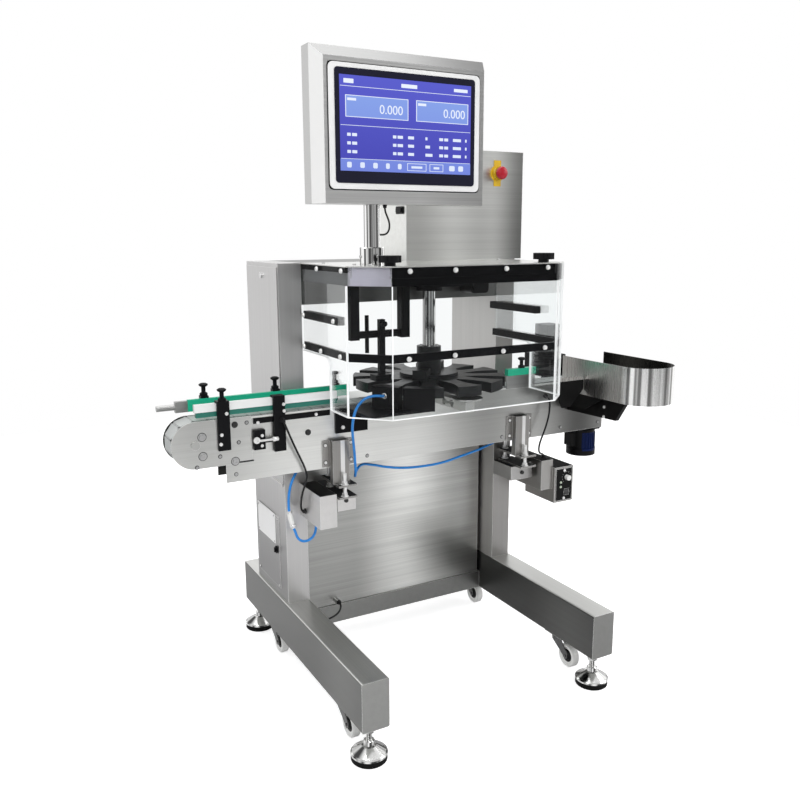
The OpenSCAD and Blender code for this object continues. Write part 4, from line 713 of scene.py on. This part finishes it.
# Rail brackets, brace and chain tensioner: black painted steel, bolted to the lane with pale button
# screws. The tensioner's plated rod and bolt stand between two of the brackets.
black_paint = moulded("black_paint", (0.005, 0.005, 0.006), 0.42, 0.0002, shine=0.1)
dress(black_paint, "rail_brackets", "star_drive", "sensor_bridge")
pale_steel = flecked("button_screw", 200, 3, (0.78, 0.78, 0.77), (0.9, 0.9, 0.89), (0.25, 0.1), 0.00002,
                     metallic=0.5)
fit_heads("bracket_screws", pale_steel, [
    ((-615.6, 427, 903), front), ((-631.9, 427, 845), front), ((-635, 427, 819), front),
    ((-451, 426, 912.7), front), ((-450.4, 426, 893.5), front), ((-526, 434, 866), front),
    ((-350, 434, 871), front)], 5, 3)
fit_heads("tensioner_screws", pale_steel, [
    ((-517.4, 426, 829.9), front), ((-518.6, 426, 800.8), front)], 4.5, 3)
fit_heads("tensioner_bolt", pale_steel, [((-534, 426, 818), front)], 8, 11, 6, 0.4, 1.2)
tension_rod = bmesh.new()
turned_along(tension_rod, [at(x, 420, 817) for x in (-532, -488, -487.9, -474, -472)],
             [0.0035, 0.0035, 0.0062, 0.0062, 0.005])
finish_piece("tension_rod", tension_rod, pale_steel, "stand", True)

# Supports: welded stainless arms from the towers, levelling plates on chromed bolts, hat brackets and the
# boxes beside the arms. Their upper faces lie under the lane and are painted dark, as painted shade.
# Painted shade: the arms' top faces are darkened, and the arms are painted darker near the right support.
dress(brushed("arm_steel", 0.64, "Y", 0.34, 0.14, [("X", 420, 260, -0.4)], (1, 0.985, 0.97),
              [("Z", 1, -0.9)]), "support_arms")
hats = Finish("bracket_steel")
hat_line = hats.noise((420, 420, 2))
hat_steel = hats.tone(hat_line, (0.26, 0.255, 0.245), (0.40, 0.39, 0.375))
bolt_r, hat_bolts = 0.012, 0.0
for bolt_x in (-276, 386):
    for bolt_y in (406, 518):
        off_x = hats.axis("X") - along("X", bolt_x)
        off_y = hats.axis("Y") - along("Y", bolt_y)
        hat_bolts = hat_bolts + (off_x * off_x + off_y * off_y < bolt_r ** 2)
# Painted shade turns the brackets' top faces near black, and a painted highlight runs along their edges.
hat_top_shade = hats.faces("Z", 1)
hat_color = hats.mix(hat_top_shade, hat_steel, (0.008, 0.008, 0.008, 1))
hat_color = hats.mix(0.7 * hats.edges(0.0022), hat_color, (0.92, 0.92, 0.91, 1))
hat_color = hats.mix(hat_bolts, hat_color, (0.86, 0.86, 0.85, 1))
dress(hats.surface(hat_line, 0.00003, base_color=hat_color, metallic=1.0 - hat_top_shade,
                   roughness=0.34 + 0.1 * hat_line + 0.5 * hat_top_shade, edge=0.001),
      "support_brackets")
flange_screws = [((x, 435, z), front) for x in (-323, -241, 341, 421) for z in (774, 722)]
fit_heads("flange_screws", pale_steel, flange_screws, 5, 3)
# Dark seats under the flange screws: thin washers that also stand in for the shadow ring round each head.
fit_heads("flange_shadow_seats", dark_steel, flange_screws, 6.8, 0.6, 20, 0.3)
fit_heads("arm_screws", dark_steel, [
    ((-262, 428, 598), front), ((392, 428, 590), front)], 7, 4)
fit_heads("leg_screw", pale_steel, [((-267, 432, 823), front)], 6, 4)

# Lane control box: a folded stainless box with a black plastic panel let into its front, a white speed
# knob with a ring of marks, two lamps, a rocker switch in a raised frame and two panel screws.
box = Finish("control_steel")
box_line = box.noise((420, 420, 2))
box_panel = short_of(box, "Y", 379.2)
# Painted shade turns the box's top faces near black, and a painted highlight runs along its edges.
box_top_shade = box.faces("Z", 1)
box_steel = box.tone(box_line, (0.28, 0.275, 0.265), (0.46, 0.45, 0.435))
box_steel = box.mix(box_top_shade, box_steel, (0.015, 0.015, 0.015, 1))
box_black = box.tone(box_line, (0.003, 0.003, 0.003), (0.007, 0.007, 0.007))
box_color = box.mix(box_panel, box_steel, box_black)
box_color = box.mix(0.75 * box.edges(0.0022), box_color, (0.9, 0.9, 0.89, 1))
dress(box.surface(box_line, 0.00003, base_color=box_color, metallic=(1 - box_panel) * (1 - box_top_shade),
                  roughness=0.28 + 0.1 * box_line + 0.1 * box_panel + 0.5 * box_top_shade,
                  specular_ior_level=0.1, edge=0.001), "control_box")
dress(white_plastic, "speed_knob")
dress(moulded("switch_grey", (0.05, 0.05, 0.05), 0.3, shine=0.4), "power_rocker")
fit_heads("panel_front_screws", pale_steel, [((534, 378, 589), front), ((534, 378, 491), front)], 5, 3)
knob_x, knob_z, dial_r, dot_r = 544, 564, 19, 0.8
dots = bmesh.new()
for k in range(11):
    turn = math.radians(-135 + 27 * k)
    x, z = knob_x + dial_r * math.sin(turn), knob_z + dial_r * math.cos(turn)
    slab(dots, rounded(x - dot_r, z - dot_r, x + dot_r, z + dot_r, 0.7, 3), "Y", 377.6, 378.1)
finish_piece("speed_marks", dots, white_plastic, "stand")
fit_heads("panel_lamps", moulded("lamp_pale", (0.55, 0.62, 0.50), 0.25), [
    ((520, 378, 548), front), ((520, 378, 532), front)], 3.6, 3, 16, 0.15, 1.2)

# Guard hood: clear acrylic panels, flame-polished along their edges, screwed to black steel bars with pale
# button screws. The edges' white shine is a painted highlight on thin strips that also glow faintly. The top
# bar's left corner carries a pale lilac painted reflection and its left side a grey one, and a stainless
# roof plate is held down by two black hand knobs.
acrylic = Finish("clear_acrylic")
acrylic_clear = acrylic.node("BsdfTransparent", {}, {"Color": (0.975, 0.985, 0.985, 1)})
acrylic_gloss = acrylic.node("BsdfGlossy", {}, {"Color": (1, 1, 1, 1), "Roughness": 0.03})
acrylic_edge = acrylic.node("Fresnel", {}, {"IOR": 1.35})
acrylic.node("OutputMaterial", {}, {"Surface": acrylic.node(
    "MixShader", {}, {0: acrylic_edge * 0.32, 1: acrylic_clear, 2: acrylic_gloss})})
dress(acrylic.material, "guard_panels")
bars = Finish("bar_paint")
bar_fleck = bars.fleck(300)
# Painted reflection: pale lilac on the top bar's left corner, grey on its left side.
bar_top = past(bars, "Z", 1245)
bar_chamfer_reflection = bar_top * short_of(bars, "X", -256) * short_of(bars, "Y", 226)
bar_side_reflection = bar_top * short_of(bars, "X", -320) * past(bars, "Y", 226) * short_of(bars, "Z", 1282)
bar_color = bars.tone(bar_fleck, (0.003, 0.003, 0.004), (0.007, 0.007, 0.008))
bar_color = bars.mix(bar_side_reflection, bar_color, (0.34, 0.34, 0.345, 1))
bar_color = bars.mix(bar_chamfer_reflection, bar_color, (0.74, 0.72, 0.79, 1))
dress(bars.surface(bar_fleck, 0.0001, base_color=bar_color, roughness=0.34 + 0.16 * bar_fleck,
                   specular_ior_level=0.1), "guard_bars")
dress(brushed("roof_steel", 0.7, "X", 0.25), "guard_roof")
dress(black_plastic, "roof_knob_left", "roof_knob_right")
# Painted highlight: the edge strips are near white and glow faintly, though they are no lamp.
edge_highlight = flecked("painted_edge_highlight", 25, 3, (0.86, 0.87, 0.87), (0.95, 0.95, 0.95), (0.15, 0.1),
                     emission_strength=0.12, emission_color=(1, 1, 1, 1))
guard_side, guard_front = 347, 134
guard_line = [(-guard_side, 531), (-guard_side, 226), (-258, guard_front), (281, guard_front),
              (guard_side, 194), (guard_side, 531)]
wall, proud, rim, guard_low, guard_high = 6.0, 0.4, 2, 900, 1249
notch_y, notch_z, notch_r = 338, 1046, 24
edges = bmesh.new()


def wall_strip(bm, plan, low, high):
    ways = [(Vector(b) - Vector(a)).normalized() for a, b in zip(plan[:-1], plan[1:])]
    sides = []
    for depth in (-proud, wall + proud):
        side = []
        for k, spot in enumerate(plan):
            around = [ways[max(k - 1, 0)], ways[min(k, len(ways) - 1)]]
            inward = [Vector((-way.y, way.x)) for way in around]
            mean = (inward[0] + inward[1]).normalized()
            side.append(Vector(spot) + mean * depth / mean.dot(inward[0]))
        sides.append(side)
    slab(bm, [tuple(p) for p in sides[0]] + [tuple(p) for p in reversed(sides[1])], "Z", low, high)


def toward(a, b, reach):
    return tuple(Vector(a) + (Vector(b) - Vector(a)).normalized() * reach)


for before, corner, after in zip(guard_line[:-2], guard_line[1:-1], guard_line[2:]):
    wall_strip(edges, [toward(corner, before, 1.1), corner, toward(corner, after, 1.1)],
               guard_low, guard_high)
wall_strip(edges, [(-guard_side, notch_y), *guard_line[1:-1], (guard_side, notch_y)],
           guard_low - proud, guard_low + rim)
bow_y, bow_z = notch_y + notch_r, notch_z - notch_r
bow_out, bow_in = notch_r + rim, notch_r - proud
quarter = [math.pi / 2 * k / 8 for k in range(9)]
bow = [(bow_y - bow_out * math.cos(t), bow_z + bow_out * math.sin(t)) for t in quarter]
bow += [(bow_y - bow_in * math.cos(t), bow_z + bow_in * math.sin(t)) for t in reversed(quarter)]
upright = rounded(notch_y - rim, guard_low, notch_y + proud, bow_z, 0.3, 2)
lintel = rounded(bow_y, notch_z - proud, 530, notch_z + rim, 0.3, 2)
for side in (-guard_side - proud, guard_side - wall - proud):
    for outline in (upright, bow, lintel):
        slab(edges, outline, "X", side, side + wall + 2 * proud)
finish_piece("guard_edge_highlights", edges, edge_highlight, "stand")
guard_screws = [((x, guard_front, z), front) for z, places in (
    (1287, (-206.8, -68.7, 95.9, 238.6)), (1060, (-210, -68, 90.5, 236.5))) for x in places]
for side, way in ((-guard_side, left), (guard_side, right)):
    for z, depths in ((1287, (409.5, 248.8)), (1060, (515, 393, 263)), (1151, (305, 515))):
        guard_screws += [((side, y, z), way) for y in depths]
fit_heads("guard_screws", pale_steel, guard_screws, 7, 4.5)
fit_heads("roof_screws", screw_steel, [
    ((x, y, 1300), up) for x, y in ((-305, 460), (-289, 292), (-262, 250), (300, 460), (300, 250))], 5, 3)

# Star wheel: a black plastic pocket wheel keyed to a chromed shaft under its black drive box, with curved
# black guides, a sensor bridge, and the load cell and weigh platform under its front pocket. A moulded
# cap closes the drive box's right end.


# This finish paints chrome's reflections into its colour: dark and bright blotches set by the way each face
# points.
def chrome_painted_reflection(name, spread=2.6):
    finish = Finish(name)
    fleck = finish.fleck(300, 3)
    color = finish.tone(painted_reflection(finish, spread, 0.42, 0.56), (0.07, 0.07, 0.07), (0.94, 0.94, 0.935))
    return finish.surface(fleck, 0.00001, base_color=color, metallic=1.0, roughness=0.1 + 0.06 * fleck)


star = Finish("star_plastic")
star_scuff = star.fleck(30, 5)
star_black = star.tone(star_scuff, (0.005, 0.0055, 0.006), (0.020, 0.021, 0.022))
dress(star.surface(star.noise((4, 4, 300)), 0.00005, base_color=star_black,
                   roughness=0.22 + 0.25 * star_scuff, specular_ior_level=0.28), "star_wheel")
dress(chrome_painted_reflection("shaft_chrome", 3.2), "star_shaft")
dress(black_paint, "star_guides")
plates("drive_cap", black_plastic, "stand", "black_plastic", "Y",
       ((190, 1197, 258, 1262, 12), 450, 514), ((198, 1205, 250, 1254, 8), 446, 450.2))
dress(brushed("cell_steel", 0.5, "Y", 0.3), "load_cell", "weigh_platform")
star_x, star_y = 57, 482
for ring_name, ring_r, first, top, screw_r, screw_h in (
        ("hub_screws", 29, 0, 1038, 3.5, 3), ("pocket_screws", 62, 30, 946, 5, 3.5)):
    fit_heads(ring_name, screw_steel, [
        ((star_x + ring_r * way.x, star_y + ring_r * way.y, top), up) for way in circle(6, first)],
        screw_r, screw_h, body="star")

# Display: a bevelled stainless housing on a chromed pole, a white framed front with dark glass, and behind
# the glass a lit panel with plain boxes, marks and digits. It all swivels on the pole.
dress(chrome_painted_reflection("pole_chrome", 3.4), "display_pole")
housing = Finish("housing_steel")
housing_line = housing.noise((2, 420, 420))
# Painted light on the housing: a pale painted highlight on its left front bevel, and painted shade on its
# sides, front, underside and top, deeper on the front towards the right.
housing_bevel_highlight = housing.faces("X", -1, 0.25) * housing.faces("Y", -1, 0.25)
housing_front = housing.faces("Y", -1, 0.95)
housing_top_shade = housing.ramp(housing.axis("X"), -0.40, 0.10, 0.74, 0.80)
housing_front_shade = housing.ramp(housing.axis("X"), -0.10, 0.12, 0.0, 0.34)
housing_shade = 1 - 0.34 * housing.faces("X", -1, 0.9) - 0.42 * housing.faces("X", 1, 0.25)
housing_shade = housing_shade - 0.12 * housing_front - 0.2 * housing.faces("Z", -1, 0.25)
housing_shade = housing_shade - housing_top_shade * housing.faces("Z", 1, 0.25) - housing_front_shade * housing_front
housing_steel = housing.tone(housing_line, (0.70, 0.70, 0.695), (0.96, 0.96, 0.95))
housing_steel = housing.shaded(housing_steel, housing_shade)
housing_steel = housing.mix(housing_bevel_highlight, housing_steel, (0.84, 0.84, 0.83, 1))
dress(housing.surface(housing_line, 0.00003, base_color=housing_steel, metallic=1 - 0.6 * housing_bevel_highlight,
                      roughness=0.26 + 0.14 * housing_line, edge=0.0015), "display_housing")
dress(moulded("frame_white", (0.68, 0.68, 0.675), 0.3), "display_screen")
# A dark plate just larger than the frame, behind it, stands in for the shadow in the gap round the frame.
plates("frame_gap_shadow", black_plastic, "display", "black_plastic", "Y",
       ((-383.5, 1490.5, 68.5, 1798.5, 13), 234.2, 235.6))
dark_glass = flecked("dark_glass", 5, 2, (0.004, 0.004, 0.010), (0.012, 0.012, 0.028), (0.05, 0.05),
                     specular_ior_level=0.3)
plates("screen_glass", dark_glass, "display", "screen_glass", "Y", ((-365, 1508, 50, 1785, 9), 230.6, 232.4))
lit_x, lit_z, lit_w, lit_h, lit_back = -352, 1768, 389, 230, 230.7
panel_y, strip_y, box_y, mark_y, digit_y = 230.3, 230.0, 229.9, 229.6, 229.7


def lit(name, base, top):
    finish = Finish(name)
    rise = finish.ramp(finish.axis("Z"), along("Z", lit_z - lit_h), along("Z", lit_z))
    pixel = finish.noise((900, 900, 900), detail=1)
    glow = finish.tone(0.85 * rise + 0.15 * pixel, base, top)
    return finish.surface(None, base_color=(0.01, 0.01, 0.02, 1), roughness=0.2, emission_color=glow,
                          emission_strength=1.0, specular_ior_level=0.2)


def tile(bm, u0, v0, u1, v1, level, radius=0.6):
    slab(bm, rounded(lit_x + lit_w * u0, lit_z - lit_h * v1, lit_x + lit_w * u1, lit_z - lit_h * v0,
                     radius, 2), "Y", level, lit_back)


panel = bmesh.new()
tile(panel, 0, 0, 1, 1, panel_y)
lit_violet = lit("lit_violet", (0.050, 0.050, 0.42), (0.095, 0.105, 0.60))
finish_piece("lit_panel", panel, lit_violet, "display")
pale = bmesh.new()
value_boxes = ((0.042, 0.50), (0.565, 0.975))
for u0, u1 in value_boxes:
    tile(pale, u0, 0.21, u1, 0.428, box_y)
tile(pale, 0.0, 0.872, 1.0, 1.0, strip_y)
lit_pale = lit("lit_pale", (0.16, 0.22, 0.70), (0.26, 0.40, 0.83))
finish_piece("lit_boxes", pale, lit_pale, "display")
marks = bmesh.new()


def mark(u0, v0, u1, v1, radius=0.6):
    tile(marks, u0, v0, u1, v1, mark_y, radius)


def mark_frame(u0, v0, u1, v1, thick, inner, outer=0.002):
    mark(u0, v0, u1, v0 + thick, 0.3)
    mark(u0, v1 - thick, u1, v1, 0.3)
    mark(u0 - outer, v0, u0 + inner, v1, 0.3)
    mark(u1 - inner, v0, u1 + outer, v1, 0.3)


for u0, u1 in value_boxes:
    mark_frame(u0, 0.205, u1, 0.433, 0.007, 0.003)
    mark(u0 + 0.012, 0.235, u0 + 0.075, 0.262)
for v in (0.113, 0.517, 0.869):
    mark(0.005, v, 0.995, v + 0.005, 0.3)
mark(0.03, 0.04, 0.10, 0.085)
mark(0.45, 0.045, 0.57, 0.085)
mark(0.86, 0.045, 0.97, 0.08)
for row, v in enumerate((0.60, 0.69, 0.78)):
    for u0, u1 in ((0.05, 0.075), (0.085, 0.12), (0.385, 0.41), (0.42, 0.46), (0.50, 0.545),
                   (0.635, 0.65 + 0.02 * row), (0.745, 0.775), (0.785, 0.815), (0.855, 0.92), (0.955, 0.967)):
        mark(u0, v, u1, v + 0.032)
for u0, u1 in ((0.046, 0.079), (0.141, 0.174), (0.236, 0.269), (0.331, 0.359), (0.421, 0.449),
               (0.825, 0.87), (0.90, 0.94)):
    mark(u0, 0.905, u1, 0.965, 3)
for u0, u1 in ((0.495, 0.64), (0.67, 0.775)):
    mark_frame(u0, 0.895, u1, 0.978, 0.006, 0.002)
    mark(u0 + 0.03, 0.925, u1 - 0.03, 0.95)
lit_white = lit("lit_white", (0.72, 0.80, 0.95), (0.85, 0.90, 1.0))
finish_piece("lit_marks", marks, lit_white, "display")
digits = bmesh.new()
for u, v in ((0.285, 0.378), (0.775, 0.372)):
    figures = bpy.data.curves.new("digits", "FONT")
    figures.body = "0.000"
    figures.size = 31
    figures.extrude = 0.4
    typed = put("digits", figures)
    typed_mesh = plain_mesh(typed)
    for corner in typed_mesh.vertices:
        x, y, z = corner.co
        corner.co = at(lit_x + lit_w * u + x, digit_y - z, lit_z - lit_h * v + y)
    digits.from_mesh(typed_mesh)
    bpy.data.objects.remove(typed)
finish_piece("lit_digits", digits, lit_white, "display")
fit_heads("collar_screws", screw_steel, [((-236, 256, 1322), front), ((-270, 290, 1322), left)], 4, 3)

# Display back: a shallow cover plate of stainless sheet, brushed like the housing and held over its rear
# opening by six screws.
plates("display_back", brushed("back_steel", 0.62, "X", 0.34, 0.16), "display", "stainless", "Y",
       ((-336, 1536, 26, 1764, 14), 318.8, 321.4), ((-326, 1546, 16, 1754, 10), 321.2, 322.4))
fit_heads("display_back_screws", screw_steel, [
    ((x, 321.3, z), back) for x in (-331, -155, 21) for z in (1541, 1759)], 3.6, 2.4, body="display")

# Emergency stop: a red mushroom button with a ribbed rim, moulded in plastic, that is pushed in towards
# the yellow plastic plate it stands on.
dress(moulded("stop_yellow", (0.62, 0.40, 0.02), 0.35, shine=0.3), "estop_base")
dress(moulded("stop_red", (0.36, 0.008, 0.020), 0.28, coat=0.1, shine=0.3), "estop_button")

# Reject unit: a chromed pusher behind the lane and a U-shaped bin rolled from stainless sheet in front of
# it. The bin's curved end carries bright and dark bands of painted reflection, and its inside is painted
# dark as shade; its gusset and the wing beside it are painted black.
dress(chrome_painted_reflection("pusher_chrome"), "reject_pusher")
dress(black_paint, "reject_cylinder")
bin_mid, bin_turn, wing_edge, wing_top, gusset_top = 652, 156, 559.5, 909, 857.5
bins = Finish("bin_steel")
bin_line = bins.noise((420, 420, 2))
# Painted reflection: bright and dark bands on the curved end. Painted shade: the inside near black.
bin_reflection_band = bins.ramp(bins.noise((46, 46, 0.2), detail=1), 0.42, 0.56)
out_x = bins.axis("X") - along("X", bin_mid)
out_y = (bins.axis("Y") - along("Y", bin_turn)).at_most(0.0)
bin_inside_shade = bins.way("X") * out_x + bins.way("Y") * out_y < 0.0
bin_flat = bins.tone(bin_line, (0.50, 0.49, 0.475), (0.74, 0.73, 0.71))
bin_curved_reflection = bins.tone(bin_reflection_band, (0.24, 0.24, 0.235), (1.0, 1.0, 0.99))
bin_steel = bins.mix(short_of(bins, "Y", bin_turn), bin_flat, bin_curved_reflection)
bin_steel = bins.mix(bin_inside_shade, bin_steel, (0.06, 0.06, 0.055, 1))
bin_wing = short_of(bins, "X", wing_edge) * short_of(bins, "Z", wing_top)
bin_black = (bin_wing + short_of(bins, "Z", gusset_top)).at_most(1.0)
bin_paint = bins.tone(bin_line, (0.003, 0.003, 0.003), (0.008, 0.008, 0.008))
dress(bins.surface(bin_line, 0.00002, base_color=bins.mix(bin_black, bin_steel, bin_paint),
                   metallic=1 - bin_black, roughness=0.22 + 0.1 * bin_line + 0.2 * bin_black,
                   specular_ior_level=0.1), "reject_bin")
fit_heads("gusset_screws", pale_steel, [((588, 257, 826), left), ((588, 257, 794), left)], 5, 3)
